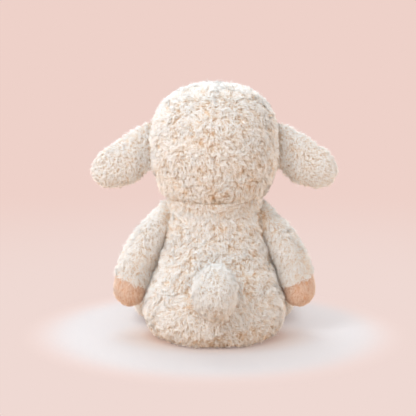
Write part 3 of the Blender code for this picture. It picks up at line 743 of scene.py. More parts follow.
def fleece(name, cloth, seed, holds, tint, shade):
    """A panel of pile: its backing and the strands that stand on it, as one or more meshes.

    shade gives how much lower than usual the tone is at each point: mostly painted shade, where parts
    meet, in creases and toward the floor.
    """
    chance = np.random.default_rng(seed)
    pile = cloth.pile
    points, faces, spots, backs = cloth.backing(holds)
    place, angle = scatter(cloth.form, pile.spacing, chance)
    kept = holds(cloth.form.skin(place, angle)[0])
    roots, normals, ups, lean, high, near = cloth.read(
        place[kept], angle[kept], cloth.points, cloth.normals, cloth.ups, cloth.lean, cloth.high,
        cloth.near)
    normals, high, near = unit(normals), high[:, 0], near[:, 0]
    roots = roots - normals * ROOT_DEPTH
    # Small tufts, each lying its own way
    lean = lean + drift(roots, pile.tuft * 1.1, 2.2) * 1.1
    lean = lean + chance.normal(size=lean.shape) * pile.stray * 0.4
    tuft = swells(roots, pile.tuft, 8.1)
    size = (0.65 + 0.35 * high) * (1 - 0.25 * near) * (1 + 0.4 * tuft)
    # A strand's tone is partly painted shade: lower on low curls, near seams and through shade, higher on
    # top of curls; the tufts, soft patches and random streaks vary it as the fleece itself does.
    tone = MIDDLE_TONE + tint + pile.patch * (high - MIDDLE_HEIGHT) + 0.26 * tuft
    tone = tone + 0.10 * swells(roots, 0.012, 5.5)
    tone = tone + (chance.random(len(roots)) - 0.5) * pile.streak - 0.2 * near
    if shade is not None:
        tone = tone - shade(roots)
    tone = np.clip(tone, 0.03, 0.97)
    each = 6 * (pile.rings - 1) + 3
    most = max(1, (PIECE_TRIANGLES - 2 * len(faces)) // each)
    order = chance.permutation(len(roots))
    made = []
    while len(order):
        some, order = order[:most], order[most:]
        strand, quads, quad_spots, tris, tri_spots = locks(
            roots[some], normals[some], lean[some], size[some], tone[some], pile, chance)
        # A strand is shaded mostly as the cloth that it stands on, as a mass of fine fibres is.
        own = strand.reshape(len(some), -1, 3)
        spine = own[:, :-1].reshape(len(some), pile.rings, 3, 3).mean(axis=2)
        under_tip = own[:, -1:] - normals[some][:, None] * 0.001
        spine = np.concatenate([np.repeat(spine, 3, axis=1), under_tip], axis=1)
        facing = unit(unit(own - spine) * 0.50 + ups[some][:, None] * 0.65
                      + normals[some][:, None] * 0.25)
        everything = np.concatenate([points, strand])
        everything[:, 2] = np.maximum(everything[:, 2], FLOOR_CLEAR)
        made.append(mesh_of(f"{name}_nap_{len(made)}" if made else name, everything,
                            np.concatenate([faces, quads + len(points)]),
                            np.concatenate([spots[faces.ravel()], quad_spots]), tris + len(points),
                            tri_spots, np.concatenate([backs, facing.reshape(-1, 3)])))
        points, faces, backs = points[:0], faces[:0], backs[:0]
        most = PIECE_TRIANGLES // each
    return made


# Colours and materials


def linear(code):
    """A colour written as sRGB hex, as the linear values that a shader takes."""
    parts = [int(code[i:i + 2], 16) / 255 for i in (1, 3, 5)]
    return tuple(p / 12.92 if p <= 0.04045 else ((p + 0.055) / 1.055) ** 2.4 for p in parts) + (1.0,)


def node(tree, kind, links=None, stops=(), **settings):
    """Add a node. A setting is an attribute, or an input where its name starts with in_.

    A link comes from a socket, or from a node's first output. stops are the places and sRGB hex
    colours of a colour ramp, low to high.
    """
    made = tree.nodes.new("ShaderNode" + kind)
    for count, (place, code) in enumerate(stops):
        elements = made.color_ramp.elements
        element = elements[count] if count < 2 else elements.new(place)
        element.position, element.color = place, linear(code)
    for name, value in settings.items():
        if name.startswith("in_"):
            key = name[3:]
            made.inputs[int(key) if key.isdigit() else key.replace("_", " ")].default_value = value
        else:
            setattr(made, name, value)
    for name, source in (links or {}).items():
        socket = source.outputs[0] if isinstance(source, bpy.types.Node) else source
        tree.links.new(socket, made.inputs[name])
    return made


def empty_tree(owner):
    """The node tree of a new material or world, with nothing in it."""
    owner.use_nodes = True
    owner.node_tree.nodes.clear()
    return owner.node_tree


def pile_material(name, easing, full, roots, tips, fibre_map, streak, rough, bump, **finish):
    """A cloth's pile: a ramp of colours for its roots and one for its tips, streaked by its fibres.

    full is how far up a strand the colour of its tip is reached.
    """
    material = bpy.data.materials.new(name)
    tree = empty_tree(material)
    low, high = LOCK_MAP
    place = node(tree, "UVMap", uv_map=MAP_NAME)
    parts = node(tree, "SeparateXYZ", {0: place})
    along = node(tree, "MapRange", {0: parts.outputs["Y"]}, interpolation_type=easing, in_1=low,
                 in_2=low + full * (high - low))
    # The map's X is a strand's tone: its lowest stops paint shade into the creases and where parts meet.
    lower, upper = (node(tree, "ValToRGB", {0: parts.outputs["X"]}, stops) for stops in (roots, tips))
    mixed = node(tree, "Mix", {0: along, 6: lower, 7: upper}, data_type="RGBA")
    spread = node(tree, "Mapping", {0: place}, in_3=fibre_map)
    fibres = node(tree, "TexNoise", {0: spread}, in_2=3.0, in_3=2.0)
    shade = node(tree, "MapRange", {0: fibres}, in_1=0.3, in_2=0.7, in_3=streak[0], in_4=streak[1])
    colour = node(tree, "VectorMath", {0: mixed.outputs[2], 1: shade}, operation="MULTIPLY")
    links = {"Base Color": colour,
             "Roughness": node(tree, "MapRange", {0: fibres}, in_3=rough[0], in_4=rough[1])}
    if bump:
        links["Normal"] = node(tree, "Bump", {"Height": fibres}, in_Strength=bump, in_Distance=0.0003)
    shader = node(tree, "BsdfPrincipled", links, in_IOR=1.5, **finish)
    node(tree, "OutputMaterial", {0: shader})
    return material


def fleece_material(name, looks):
    """Polyester sherpa fleece, knitted and tumbled into curls.

    The fibres are dull and soft, so light goes in between them. The creases are painted a warm tan
    shade, the tips are cream, and a weak sheen lifts the edges.
    """
    # A lock is about 4 mm round and 7 mm long, and its fibres are drawn 0.35 mm wide.
    return pile_material(
        name, "SMOOTHSTEP", 0.75,
        ((0.03, looks.deep), (0.24, looks.crease), (0.55, looks.root), (0.95, looks.root_pale)),
        ((0.0, looks.deep), (0.16, looks.crease), (0.40, looks.root), (0.62, looks.lock),
         (0.85, looks.tip)),
        (4 / BAND, 10, 1), (0.93, 1.04), (0.82, 0.98), 0.35, in_Sheen_Weight=0.08,
        in_Sheen_Roughness=0.5, in_Sheen_Tint=linear("#FFE6C8"), in_Specular_IOR_Level=0.05)


def velour_material(name, looks):
    """Polyester velour, woven and sheared short.

    The pile is even, so the cloth is a soft peach that pales where it turns away.
    """
    # The pile's tufts are 0.9 mm apart, and its fibres are drawn 0.15 mm wide.
    return pile_material(
        name, "LINEAR", 1.0, ((0.0, looks.velour_root), (1.0, looks.velour)),
        ((0.0, looks.velour), (1.0, looks.velour_tip)),
        (3 / BAND, 12, 1), (0.92, 1.05), (0.78, 0.95), 0, in_Sheen_Weight=0.35,
        in_Sheen_Roughness=0.4, in_Sheen_Tint=linear("#FFE9D8"), in_Specular_IOR_Level=0.15)


def thread_material(name, dark, pale, thread_mm):
    """Spun polyester thread: a twist of fine fibres with a little gloss along it."""
    material = bpy.data.materials.new(name)
    tree = empty_tree(material)
    place = node(tree, "TexCoord")
    # One turn of the twist for each thread's width
    twist = node(tree, "TexWave", {0: place.outputs["Object"]}, bands_direction="DIAGONAL",
                 in_1=1000 / thread_mm / 6.0, in_2=1.5, in_3=2.0, in_4=1.5)
    height = twist.outputs["Fac"]
    # Painted shade and light: the thread is darker in the grooves of its twist and paler on its ridges
    colour = node(tree, "ValToRGB", {0: twist}, ((0.0, dark), (1.0, pale)))
    rough = node(tree, "MapRange", {0: height}, in_3=0.5, in_4=0.68)
    bump = node(tree, "Bump", {"Height": height}, in_Strength=0.4, in_Distance=0.0001)
    shader = node(tree, "BsdfPrincipled", {"Base Color": colour, "Roughness": rough, "Normal": bump},
                  in_IOR=1.5, in_Sheen_Weight=0.15)
    node(tree, "OutputMaterial", {0: shader})
    return material


def plastic_material(name, dark, pale, roughness, mottle_mm):
    """Moulded plastic: even colour, with the faint flow marks and rubs of handling."""
    material = bpy.data.materials.new(name)
    tree = empty_tree(material)
    place = node(tree, "TexCoord")
    flow = node(tree, "TexNoise", {0: place.outputs["Object"]}, in_2=1000 / mottle_mm, in_3=3.0)
    colour = node(tree, "ValToRGB", {0: flow}, ((0.35, dark), (0.65, pale)))
    rough = node(tree, "MapRange", {0: flow}, in_1=0.3, in_2=0.7, in_3=roughness * 0.7,
                 in_4=roughness * 1.3)
    shader = node(tree, "BsdfPrincipled", {"Base Color": colour, "Roughness": rough}, in_IOR=1.49)
    node(tree, "OutputMaterial", {0: shader})
    return material


CLOTHS = {"fleece": ("sherpa_fleece_tumbled", fleece_material),
          "velour": ("velour_woven_sheared", velour_material)}


def cloth_material(kind, looks):
    """The material of a kind of cloth, made once."""
    name, make = CLOTHS[kind]
    return bpy.data.materials.get(name) or make(name, looks)


# Settings


def colour(name, default, description):
    """A colour that a user can change."""
    return bpy.props.StringProperty(name=name, description=f"{description}, as sRGB hex",
                                    default=default)


class SheepLooks(bpy.types.PropertyGroup):
    """The colours and sizes of the sheep's cloth."""

    # deep and crease are painted shade, where two parts meet and between the curls; root and root_pale
    # carry painted shade down in the pile, less on top of a curl.
    deep: colour("Deep", "#DE9A53", "Fleece where two parts meet")
    crease: colour("Crease", "#EABB88", "Fleece deep between its curls")
    root: colour("Root", "#F7DDC0", "Roots of the fleece")
    root_pale: colour("Pale root", "#FFF3E2", "Roots on top of a curl")
    lock: colour("Lock", "#FEF8F1", "Tips of the lower locks")
    tip: colour("Tip", "#FFFEFB", "Tips of the highest locks")
    # velour_root is painted shade, the velour darker down at its backing
    velour_root: colour("Velour root", "#CE9469", "Velour at its backing")
    velour: colour("Velour", "#EAC3A6", "Velour pile")
    velour_tip: colour("Velour tip", "#FCEADC", "Velour where its pile catches the light")
    thread: colour("Thread", "#E6D3BD", "Sewing thread")
    nose: colour("Nose", "#8A5A45", "Embroidery thread of the nose and mouth")
    thread_width: bpy.props.FloatProperty(
        name="Thread width", description="Width of the sewing thread", default=0.0009, min=0.0003,
        max=0.002, unit="LENGTH", subtype="DISTANCE")


class SheepStage(bpy.types.PropertyGroup):
    """The studio round the sheep."""

    wall: colour("Wall", "#EED1C9", "Backdrop as the camera sees it")
    floor: colour("Floor", "#DEC5BC", "Floor away from the sheep")
    disc: colour("Lit floor", "#CBCBCC", "Floor in the pool of light")
    # Painted shadow: a warm shade on the floor close round the toy
    warm_shadow: colour("Warm floor", "#D2BEB0", "Floor close round the toy")
    bounce: colour("Bounce", "#E6C6AC", "Floor as it lights the toy from below")
    # Painted contact shadow: the darkest floor, against the toy's base
    contact_shadow: colour("Contact", "#C08C62", "Floor against the toy's base")
    apron: colour("Near backdrop", "#EFD9D3", "Floor round the pool as the camera sees it")
    key_power: bpy.props.FloatProperty(
        name="Key light", description="Power of the main soft light", default=22.0, min=0,
        unit="POWER")
    fill_power: bpy.props.FloatProperty(
        name="Fill light", description="Power of the soft light on the shaded side", default=4.5,
        min=0, unit="POWER")
    elevation: bpy.props.FloatProperty(
        name="Camera height", description="Angle of the camera above level",
        default=math.radians(10), subtype="ANGLE")
    distance: bpy.props.FloatProperty(
        name="Camera distance", description="From the camera to the sheep", default=1.0, min=0.3,
        unit="LENGTH", subtype="DISTANCE")
    lens: bpy.props.FloatProperty(
        name="Lens", description="Focal length of the camera", default=85.0, min=20,
        subtype="DISTANCE_CAMERA")


# Pieces


def combed(*way):
    """Combs a pile one way. The further it is, the straighter the pile lies."""
    return lambda points: np.broadcast_to(np.array(way), points.shape)


def dress(name, cloth, kind, body, nodes, fill, seed, holds=panel(), tint=0.0, shade=None,
          slot=None, **bend):
    """Put a panel of fleece or velour on its CAD body."""
    material = cloth_material(kind, bpy.context.scene.sheep_looks)
    show(fleece(name, cloth, seed, holds, tint, shade), material, body, slot or kind, nodes, fill, **bend)


class SHEEP_OT_body(bpy.types.Operator):
    """Dress the body: its seat, belly and two back panels"""

    bl_idname = "sheep.body"
    bl_label = "Body fleece"

    def execute(self, context):
        seams = (Seam((0, 0, SEAT_SEAM_RISE), UP, 0.0014, 0.15),
                 Seam((0, 0, 0), ACROSS, 0.0016, 0.35, REARWARD))
        cloth = Cloth(BODY, BODY_PILE, combed(0, 0, -0.3), seams)
        rise, side = SEAT_SEAM_RISE, -SIDE_SEAM_FORWARD
        for seed, (name, holds, nodes) in enumerate((
            ("seat_fleece", panel(high=rise), ("seat_panel", "pellet_pouch")),
            ("belly_fleece", panel(rise, back=side), ("belly_panel", "body_stuffing")),
            ("back_fleece_left", panel(rise, front=side, way=LEFT), ("back_panel_left",)),
            ("back_fleece_right", panel(rise, front=side, way=RIGHT), ("back_panel_right",)),
        ), 20):
            dress(name, cloth, "fleece", "torso", nodes, fill=0.8, seed=seed, holds=holds,
                  shade=self.shade)
        return {"FINISHED"}

    def shade(self, points):
        """Painted shade behind the limbs and the tail, and toward the floor."""
        return (0.36 * tucked(points, (*ARMS, *LEGS, TAIL), 0.0085)
                + 0.22 * np.clip(1 - points[:, 2] / 0.022, 0, 1))


class SHEEP_OT_head(bpy.types.Operator):
    """Dress the head: its crown, its two back panels and the velour face"""

    bl_idname = "sheep.head"
    bl_label = "Head fleece and face cloth"

    def execute(self, context):
        seams = (Seam((0, 0, CROWN_SEAM), UP, 0.0012, 0.3),
                 Seam((0, 0, 0), ACROSS, 0.0016, 0.35, REARWARD))
        cloth = Cloth(HEAD, HEAD_PILE, combed(0, 0, -0.35), seams)
        crown, face = CROWN_SEAM, -FACE_SEAM_FORWARD
        for seed, (name, holds, nodes) in enumerate((
            ("crown_fleece", panel(crown), ("crown_panel", "head_stuffing")),
            ("head_fleece_left", panel(high=crown, front=face, way=LEFT), ("head_back_left",)),
            ("head_fleece_right", panel(high=crown, front=face, way=RIGHT), ("head_back_right",)),
        ), 30):
            # Painted shade beside the ears and in the crease of the neck
            dress(name, cloth, "fleece", "head", nodes, fill=0.85, seed=seed, holds=holds,
                  shade=lambda p: 0.45 * tucked(p, EARS, 0.0040) + 0.4 * ringed(p))
        dress("face_velour", Cloth(HEAD, VELOUR_PILE, combed(0, 0, -0.8)), "velour", "head",
              ("face_panel",), fill=0.85, seed=35, holds=panel(high=crown, back=face), tint=0.1)
        return {"FINISHED"}


class SHEEP_OT_neck(bpy.types.Operator):
    """Fill the crease of the neck with fleece round its plug of stuffing"""

    bl_idname = "sheep.neck"
    bl_label = "Neck fleece"

    def execute(self, context):
        rows = [(BODY_HEIGHT + rise, radius, radius) for rise, radius in NECK_FLEECE]
        cloth = Cloth(Form(upright_ovals(rows)), LIMB_PILE, combed(0, 0, -0.3))
        # Painted shade in the crease of the neck and beside the arms
        dress("neck_fleece", cloth, "fleece", "neck", ("neck_stuffing",), fill=0.9, seed=40,
              shade=lambda p: 0.5 * ringed(p) + 0.2 * tucked(p, ARMS, 0.0060), slot="stuffing",
              onto="head", heights=(BODY_HEIGHT - 0.010, BODY_HEIGHT + 0.006))
        return {"FINISHED"}


class SHEEP_OT_ears(bpy.types.Operator):
    """Dress each ear: fleece behind, velour in front"""

    bl_idname = "sheep.ears"
    bl_label = "Ears"

    def execute(self, context):
        for seed, (name, way) in enumerate(SIDES):
            form, comb = ear_form(way), combed(way * 0.5, 0, -0.5)
            # The ear's fleece is painted with shade where it meets the head
            dress(f"ear_fleece_{name}", Cloth(form, EAR_PILE, comb), "fleece", f"ear_{name}",
                  (f"ear_back_{name}", f"ear_wadding_{name}"), fill=0.6, seed=50 + seed,
                  holds=panel(front=0), tint=0.12, shade=lambda p: 0.5 * tucked(p, (HEAD,), 0.0045))
            dress(f"ear_velour_{name}", Cloth(form, VELOUR_PILE, comb), "velour", f"ear_{name}",
                  (f"ear_lining_{name}",), fill=0.6, seed=52 + seed, holds=panel(back=0))
        return {"FINISHED"}


def limb(kind, name, form, middle, toward, comb, seed):
    """A fleece sleeve and a velour hoof, parted by a seam with its middle and the way to the hoof."""
    middle, toward = np.array(middle, float), np.array(toward, float)

    def past(points):
        """How far past the seam, over which the sleeve's pile strays here and there."""
        return (points - middle) @ toward - SEAM_STRAY * swells(points, 0.0045, 3.3)

    # Painted shade where the limb lies against the body
    def shade(points):
        return 0.35 * tucked(points, (BODY,), 0.0085)

    dress(f"{kind}_fleece_{name}", Cloth(form, LIMB_PILE, comb), "fleece", f"{kind}_{name}",
          (f"{kind}_sleeve_{name}", f"{kind}_stuffing_{name}"), fill=0.75, seed=seed,
          holds=lambda p: past(p) < SEAM_LAP, tint=0.09, shade=shade)
    cloth = Cloth(form, HOOF_PILE, comb, (Seam(middle, toward, 0.0016),))
    dress(f"{kind}_velour_{name}", cloth, "velour", f"{kind}_{name}", (f"{kind}_hoof_{name}",),
          fill=0.75, seed=seed + 1, holds=lambda p: past(p) >= 0, tint=0.06, shade=shade)


def gather(place, name, root, radius, seed):
    """The small gathered end of a limb, drawn in on its stitches."""
    cloth = Cloth(ball_form(root, (radius, radius, radius), 18), LIMB_PILE)
    dress(f"{place}_fleece_{name}", cloth, "fleece", f"{place}_{name}", (f"{place}_gather_{name}",),
          fill=0.9, seed=seed, tint=-0.1)


class SHEEP_OT_arms(bpy.types.Operator):
    """Dress each arm: its gathered shoulder, fleece sleeve and velour hoof"""

    bl_idname = "sheep.arms"
    bl_label = "Arms"

    def execute(self, context):
        for seed, (name, way) in zip((60, 64), SIDES):
            middle, toward = ((way * x, y, z) for x, y, z in (ARM_SEAM, ARM_SEAM_FACES))
            limb("arm", name, arm_form(way), middle, toward, combed(0, 0, -0.9), seed)
            gather("shoulder", name, (way * SHOULDER[0], 0, SHOULDER[1]), SHOULDER_GATHER, seed + 2)
        return {"FINISHED"}


class SHEEP_OT_legs(bpy.types.Operator):
    """Dress each leg: its gathered hip, fleece sleeve and velour hoof"""

    bl_idname = "sheep.legs"
    bl_label = "Legs"

    def execute(self, context):
        for seed, (name, way) in zip((70, 74), SIDES):
            form, seam = leg_form(way)
            limb("leg", name, form, seam[0], (0, -1, 0), combed(0, -0.8, -0.2), seed)
            gather("hip", name, tuple(leg_root(way)), LEG_GATHER, seed + 2)
        return {"FINISHED"}


class SHEEP_OT_tail(bpy.types.Operator):
    """Dress the round tail in finer fleece"""

    bl_idname = "sheep.tail"
    bl_label = "Tail"

    def execute(self, context):
        dress("tail_fleece", Cloth(TAIL, TAIL_PILE, combed(0, 0.3, -0.3)), "fleece", "tail",
              ("tail_cover", "tail_stuffing"), fill=0.8, seed=80, tint=0.30, shade=self.shade)
        return {"FINISHED"}

    def shade(self, points):
        """Painted shade toward the body and on the tail's underside, with soft random patches of tone."""
        low = np.clip((TAIL_RISE + 0.004 - points[:, 2]) / 0.028, 0, 1)
        return 0.4 * tucked(points, (BODY,), 0.0110) + 0.34 * low + 0.10 * swells(points, 0.009, 7.7)


def turned(profile, sides):
    """A profile of radii and heights turned about the upright, as points, faces and map places."""
    turn = np.arange(sides) * math.tau / sides
    points = [np.stack([radius * np.cos(turn), radius * np.sin(turn), np.full(sides, rise)], axis=-1)
              for radius, rise in profile]
    faces, spots = ring_faces(len(profile), sides)
    return np.concatenate(points), faces, spots[:, ::-1]


def tube(points, radius, closed, sides=8):
    """A round thread along points, as points, faces and places on the map."""
    line = np.array(points, float)
    ahead = np.gradient(line, axis=0)
    if closed:
        ahead = np.roll(line, -1, axis=0) - np.roll(line, 1, axis=0)
    ahead = unit(ahead)
    flat = unit(np.cross(ahead, (0.13, 0.21, 0.97)))
    over = np.cross(flat, ahead)
    turn = np.arange(sides)[:, None] * math.tau / sides
    ring = line[:, None] + radius * (flat[:, None] * np.cos(turn) + over[:, None] * np.sin(turn))
    return ring.reshape(-1, 3), *ring_faces(len(line), sides, closed)


def thread_mesh(name, lines, closed=False):
    """Several threads, each a line and a radius, as one mesh. Each has a strip of the map."""
    points, faces, spots, start = [], [], [], 0
    for place, (line, radius) in enumerate(lines):
        p, f, s = tube(line, radius, closed)
        points.append(p)
        faces.append(f + start)
        s = s * 0.96 + 0.02
        s[:, 1] = (place + s[:, 1]) / len(lines)
        spots.append(s)
        start += len(p)
    return mesh_of(name, np.concatenate(points), np.concatenate(faces), np.concatenate(spots))


def muzzle_middle():
    face = on_form(HEAD, -math.pi / 2, BODY_HEIGHT + MUZZLE_RISE)[0]
    return face + Vector((0, MUZZLE_BACK, 0))


def on_muzzle(across, rise, lift):
    """A point that stands a little off the muzzle, at a place across and up its front."""
    radii = Vector(MUZZLE_SIZE) / 2
    out = math.sqrt(max(0.0, 1 - (across / radii.x) ** 2 - (rise / radii.z) ** 2))
    point = Vector((across, -radii.y * out, rise))
    normal = Vector([value / radius**2 for value, radius in zip(point, radii)]).normalized()
    return tuple(muzzle_middle() + point + normal * lift)


class SHEEP_OT_face(bpy.types.Operator):
    """Make the muzzle, the sewn nose and mouth, and the two safety eyes"""

    bl_idname = "sheep.face"
    bl_label = "Face"

    def execute(self, context):
        form = ball_form(tuple(muzzle_middle()), [size / 2 for size in MUZZLE_SIZE])
        cloth = Cloth(form, VELOUR_PILE, lambda points: (points - form.rows[0, :3]) * 40)
        dress("muzzle_velour", cloth, "velour", "head", ("muzzle",), fill=0.85, seed=90, tint=0.12)
        brown = thread_material("embroidery_thread_satin_stitched", "#5F3A2B",
                                context.scene.sheep_looks.nose, 0.6)
        show([self.nose()], brown, "head", "nose_thread", ("nose",))
        show([self.mouth()], brown, "head", "nose_thread", ("mouth_stitches",))
        black = plastic_material("acrylic_moulded_polished", "#0B0908", "#14100E", 0.08, 3.0)
        white = plastic_material("polypropylene_moulded", "#DEDBD2", "#EBE8E0", 0.45, 2.5)
        for name, way in SIDES:
            show([self.eye(name, way)], black, "head", "eye", (f"eye_{name}",))
            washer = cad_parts[f"eye_washer_{name}"]
            washer.data.materials.clear()
            washer.data.materials.append(white)
        return {"FINISHED"}

    def nose(self):
        """Satin stitches, laid side by side over a padded oval that is broader at its top."""
        rows = []
        width, deep, tall = (size / 2 for size in NOSE_SIZE)
        for rise in np.linspace(-1, 1, NOSE_STITCHES):
            half = width * math.sqrt(max(0.02, 1 - abs(rise) ** 2.6)) * (1 + 0.12 * rise)
            line = []
            for share in np.linspace(-1, 1, 13):
                pad = deep * 0.75 * math.sqrt(max(0.0, 1 - 0.92 * share**2 - 0.45 * rise**2))
                line.append(on_muzzle(share * half, NOSE_LIFT + rise * tall * 0.95, 0.0002 + pad))
            rows.append((line, 0.00036))
        return thread_mesh("nose_thread", rows)

    def mouth(self):
        """Two curves that meet under a short stitch down from the nose."""
        top, lift = NOSE_LIFT - NOSE_SIZE[2] / 2, 0.0008
        line = [on_muzzle(share * MOUTH_WIDTH / 2,
                          -MOUTH_DROP - math.sin(abs(share) * math.pi) * MOUTH_CURVE, lift)
                for share in np.linspace(-1, 1, 49)]
        fall = [on_muzzle(0, rise, lift) for rise in np.linspace(top, -MOUTH_DROP, 9)]
        return thread_mesh("mouth_thread", [(line, 0.0006), (fall, 0.0005)])

    def eye(self, name, way):
        """A domed button on its shank, square to the head."""
        height = BODY_HEIGHT + EYE_RISE
        wide = on_form(HEAD, 0, height)[0].x
        angle = -math.pi / 2 + way * math.asin(EYE_SPACING / 2 / wide)
        point, normal = on_form(HEAD, angle, height)
        turn = Vector(UP).rotation_difference(normal).to_matrix()
        rim, edge = EYE_DIAMETER / 2, 0.0005
        shank, length = EYE_SHANK
        profile = [(shank, -length), (shank, 0.0), (rim - 0.0006, -0.0002), (rim - 0.0001, 0.0001),
                   (rim, edge)]
        profile += [(rim * math.cos(quarter), edge + (EYE_BULGE - edge) * math.sin(quarter))
                    for quarter in np.linspace(0, math.pi / 2, 13)[1:-1]]
        points, faces, spots = turned([*profile, (0.00005, EYE_BULGE)], 40)
        points = points @ np.array(turn).T + np.array(point + normal * GAP)
        return mesh_of(f"eye_dome_{name}", points, faces, spots)


class SHEEP_OT_stitches(bpy.types.Operator):
    """Sew the closing seam below the tail and the thread round the neck"""

    bl_idname = "sheep.stitches"
    bl_label = "Stitches"

    def execute(self, context):
        looks = context.scene.sheep_looks
        cotton = thread_material("sewing_thread_spun", "#CDB295", looks.thread, 0.9)
        radius = looks.thread_width / 2
        lines = []
        step = (CLOSING_TOP - CLOSING_BOTTOM) / CLOSING_STITCHES
        for i in range(CLOSING_STITCHES):
            line = []
            for share in np.linspace(0, 1, 9):
                aside = (share - 0.5) * 0.0040
                height = CLOSING_BOTTOM + step * (i + 0.2 + 0.6 * share)
                point, normal = on_form(BODY, math.pi / 2 - aside / (BODY_DEPTH / 2), height)
                depth = THREAD_DEPTH - 0.0022 * math.sin(math.pi * share)
                line.append(tuple(point - normal * depth))
            lines.append((line, radius))
        show([thread_mesh("closing_thread", lines)], cotton, "torso", "thread", ("closing_stitches",))
        ring = []
        for angle in np.linspace(0, math.tau, 96, endpoint=False):
            height = BODY_HEIGHT - NECK_STITCH_DROP + 0.0006 * math.sin(angle * 16)
            point, normal = on_form(BODY, angle, height)
            ring.append(tuple(point - normal * THREAD_DEPTH))
        show([thread_mesh("neck_thread", [(ring, radius)], True)], cotton, "torso", "thread",
             ("neck_stitches",))
        return {"FINISHED"}


class SHEEP_OT_stage(bpy.types.Operator):
    """Set the pale floor and backdrop, the soft lights and the camera"""

    bl_idname = "sheep.stage"
    bl_label = "Stage"

    def execute(self, context):
        stage = context.scene.sheep_stage
        points, faces, spots = turned([(radius, 0) for radius in FLOOR_RINGS], 48)
        # The rings run outward, so their faces are turned over to face up.
        faces, spots = (np.roll(values[:, ::-1], 1, axis=1) for values in (faces, spots.reshape(-1, 4, 2)))
        mesh = mesh_of("studio_floor", points, faces, spots.reshape(-1, 2))
        floor = bpy.data.objects.new("studio_floor", mesh)
        mesh.materials.append(self.paper(stage))
        context.scene.collection.objects.link(floor)
        self.lamps(context.scene, stage)
        self.camera(context.scene, stage)
        context.scene.view_settings.view_transform = "Standard"
        return {"FINISHED"}

    def paper(self, stage):
        """Matt studio paper: a pool of light on the floor, fading into an even wall."""
        material = bpy.data.materials.new("studio_paper_matt")
        tree = empty_tree(material)
        spot = node(tree, "TexCoord").outputs["Object"]
        wide, deep = POOL_RADII
        pool = node(tree, "Mapping", {0: spot}, in_1=(0, POOL_SHIFT, 0), in_3=(1 / wide, 1 / deep, 0))
        far = node(tree, "VectorMath", {0: pool}, operation="LENGTH").outputs["Value"]
        edge = node(tree, "MapRange", {0: far}, interpolation_type="SMOOTHSTEP", in_1=0.80, in_2=1.12)
        plain = node(tree, "Mix", {0: edge}, data_type="RGBA", in_6=linear(stage.disc),
                     in_7=linear(stage.floor))
        # Painted shadow on the paper round the toy's base: warm, and darkest where the toy touches it
        wide, deep = PAINTED_SHADOW_RADII
        base = node(tree, "Mapping", {0: spot}, in_1=(0, PAINTED_SHADOW_SHIFT, 0), in_3=(1 / wide, 1 / deep, 0))
        close = node(tree, "VectorMath", {0: base}, operation="LENGTH").outputs["Value"]
        warm_shadow = node(tree, "MapRange", {0: close}, interpolation_type="SMOOTHSTEP", in_1=0.45, in_2=1.0)
        tan = node(tree, "ValToRGB", {0: close}, ((0.45, stage.contact_shadow), (0.66, stage.warm_shadow)))
        warm = node(tree, "Mix", {0: warm_shadow, 6: tan, 7: plain.outputs[2]}, data_type="RGBA")
        # Paper grain, drawn about 1 mm wide so that it shows
        grain = node(tree, "TexNoise", {0: spot}, in_2=900.0, in_3=2.0)
        shade = node(tree, "MapRange", {0: grain}, in_3=0.985, in_4=1.015)
        colour = node(tree, "VectorMath", {0: warm.outputs[2], 1: shade}, operation="MULTIPLY")
        # The light that the paper throws back on the toy is warm.
        rays = node(tree, "LightPath").outputs
        back = node(tree, "Mix", {0: rays["Is Camera Ray"], 7: colour}, data_type="RGBA",
                    in_6=linear(stage.bounce))
        lit = node(tree, "BsdfDiffuse", {0: back.outputs[2]})
        depth = node(tree, "MapRange", {0: far}, interpolation_type="SMOOTHSTEP", in_1=1.4, in_2=6.0)
        paper = node(tree, "Mix", {0: depth}, data_type="RGBA", in_6=linear(stage.apron),
                     in_7=linear(stage.wall))
        seen = node(tree, "Emission", {0: paper.outputs[2]}, in_1=1.0)
        away = node(tree, "MapRange", {0: far}, interpolation_type="SMOOTHSTEP", in_1=0.72, in_2=1.08,
                    in_3=0.30)
        eye = node(tree, "Math", {0: rays["Is Camera Ray"], 1: rays["Is Glossy Ray"]},
                   operation="MAXIMUM")
        share = node(tree, "Math", {0: eye, 1: away}, operation="MULTIPLY")
        mixed = node(tree, "MixShader", {0: share, 1: lit, 2: seen})
        node(tree, "OutputMaterial", {0: mixed})
        return material

    def lamps(self, scene, stage):
        """Four round softboxes, in air that is as bright as a white room's."""
        scene.world = bpy.data.worlds.new("studio_air")
        tree = empty_tree(scene.world)
        rays = node(tree, "LightPath").outputs
        seen = node(tree, "Math", {0: rays["Is Camera Ray"], 1: rays["Is Glossy Ray"]},
                    operation="MAXIMUM")
        air = node(tree, "Background", in_0=linear("#F9FCFF"), in_1=1.0)
        wall = node(tree, "Background", in_0=linear(stage.wall), in_1=1.0)
        mixed = node(tree, "MixShader", {0: seen, 1: air, 2: wall})
        node(tree, "OutputWorld", {0: mixed})
        for name, spot, size, power, colour in (
            ("key_softbox", (1.05, 1.15, 1.25), 0.9, stage.key_power, "#F5FAFF"),
            ("fill_softbox", (-1.4, 0.9, 0.7), 1.2, stage.fill_power, "#FFF8F0"),
            ("top_softbox", (0.2, -0.5, 1.5), 1.0, stage.fill_power * 1.6, "#F6FAFF"),
            ("front_softbox", (0.5, -1.5, 0.55), 1.2, stage.fill_power * 1.3, "#FFFCF8"),
        ):
            lamp = bpy.data.lights.new(name, "AREA")
            lamp.shape = "DISK"
            lamp.size = size
            lamp.energy = power
            lamp.color = linear(colour)[:3]
            self.aim(scene, name, lamp, spot, LAMPS_AIM - Vector(spot))

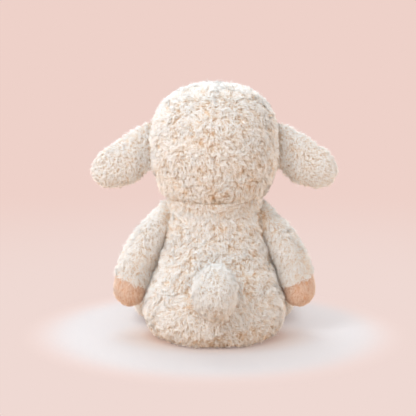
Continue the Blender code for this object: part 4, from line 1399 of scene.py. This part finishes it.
    def camera(self, scene, stage):
        """The photograph's view, from behind and a little above."""
        lens = bpy.data.cameras.new("camera")
        lens.lens = stage.lens
        lens.sensor_width = 36
        lens.clip_start = 0.05
        away = Vector((0, math.cos(stage.elevation), math.sin(stage.elevation)))
        scene.camera = self.aim(scene, "camera", lens, CAMERA_AIM + away * stage.distance, -away)

    def aim(self, scene, name, data, spot, way):
        """Put a lamp or a camera at a spot, facing one way."""
        holder = bpy.data.objects.new(name, data)
        holder.location = spot
        holder.rotation_euler = way.to_track_quat("-Z", "Y").to_euler()
        scene.collection.objects.link(holder)
        return holder


STEPS_IN_ORDER = (SHEEP_OT_body, SHEEP_OT_head, SHEEP_OT_neck, SHEEP_OT_ears, SHEEP_OT_arms,
                  SHEEP_OT_legs, SHEEP_OT_tail, SHEEP_OT_face, SHEEP_OT_stitches, SHEEP_OT_stage)


class SHEEP_PT_sidebar(bpy.types.Panel):
    """The sheep's pieces, in the order that they are made"""

    bl_label = "Plush Sheep"
    bl_idname = "SHEEP_PT_sidebar"
    bl_space_type = "VIEW_3D"
    bl_region_type = "UI"
    bl_category = "Plush Sheep"

    def draw(self, context):
        for step in STEPS_IN_ORDER:
            self.layout.operator(step.bl_idname)
        for group in (context.scene.sheep_looks, context.scene.sheep_stage):
            for name in group.__annotations__:
                self.layout.prop(group, name)


CLASSES = (SheepLooks, SheepStage, *STEPS_IN_ORDER, SHEEP_PT_sidebar)


def register():
    for kind in CLASSES:
        bpy.utils.register_class(kind)
    bpy.types.Scene.sheep_looks = bpy.props.PointerProperty(type=SheepLooks)
    bpy.types.Scene.sheep_stage = bpy.props.PointerProperty(type=SheepStage)


def unregister():
    del bpy.types.Scene.sheep_stage
    del bpy.types.Scene.sheep_looks
    for kind in reversed(CLASSES):
        bpy.utils.unregister_class(kind)


def main():
    """Make every piece in order."""
    register()
    for step in STEPS_IN_ORDER:
        group, name = step.bl_idname.split(".")
        getattr(getattr(bpy.ops, group), name)()


if __name__ == "__main__":
    main()
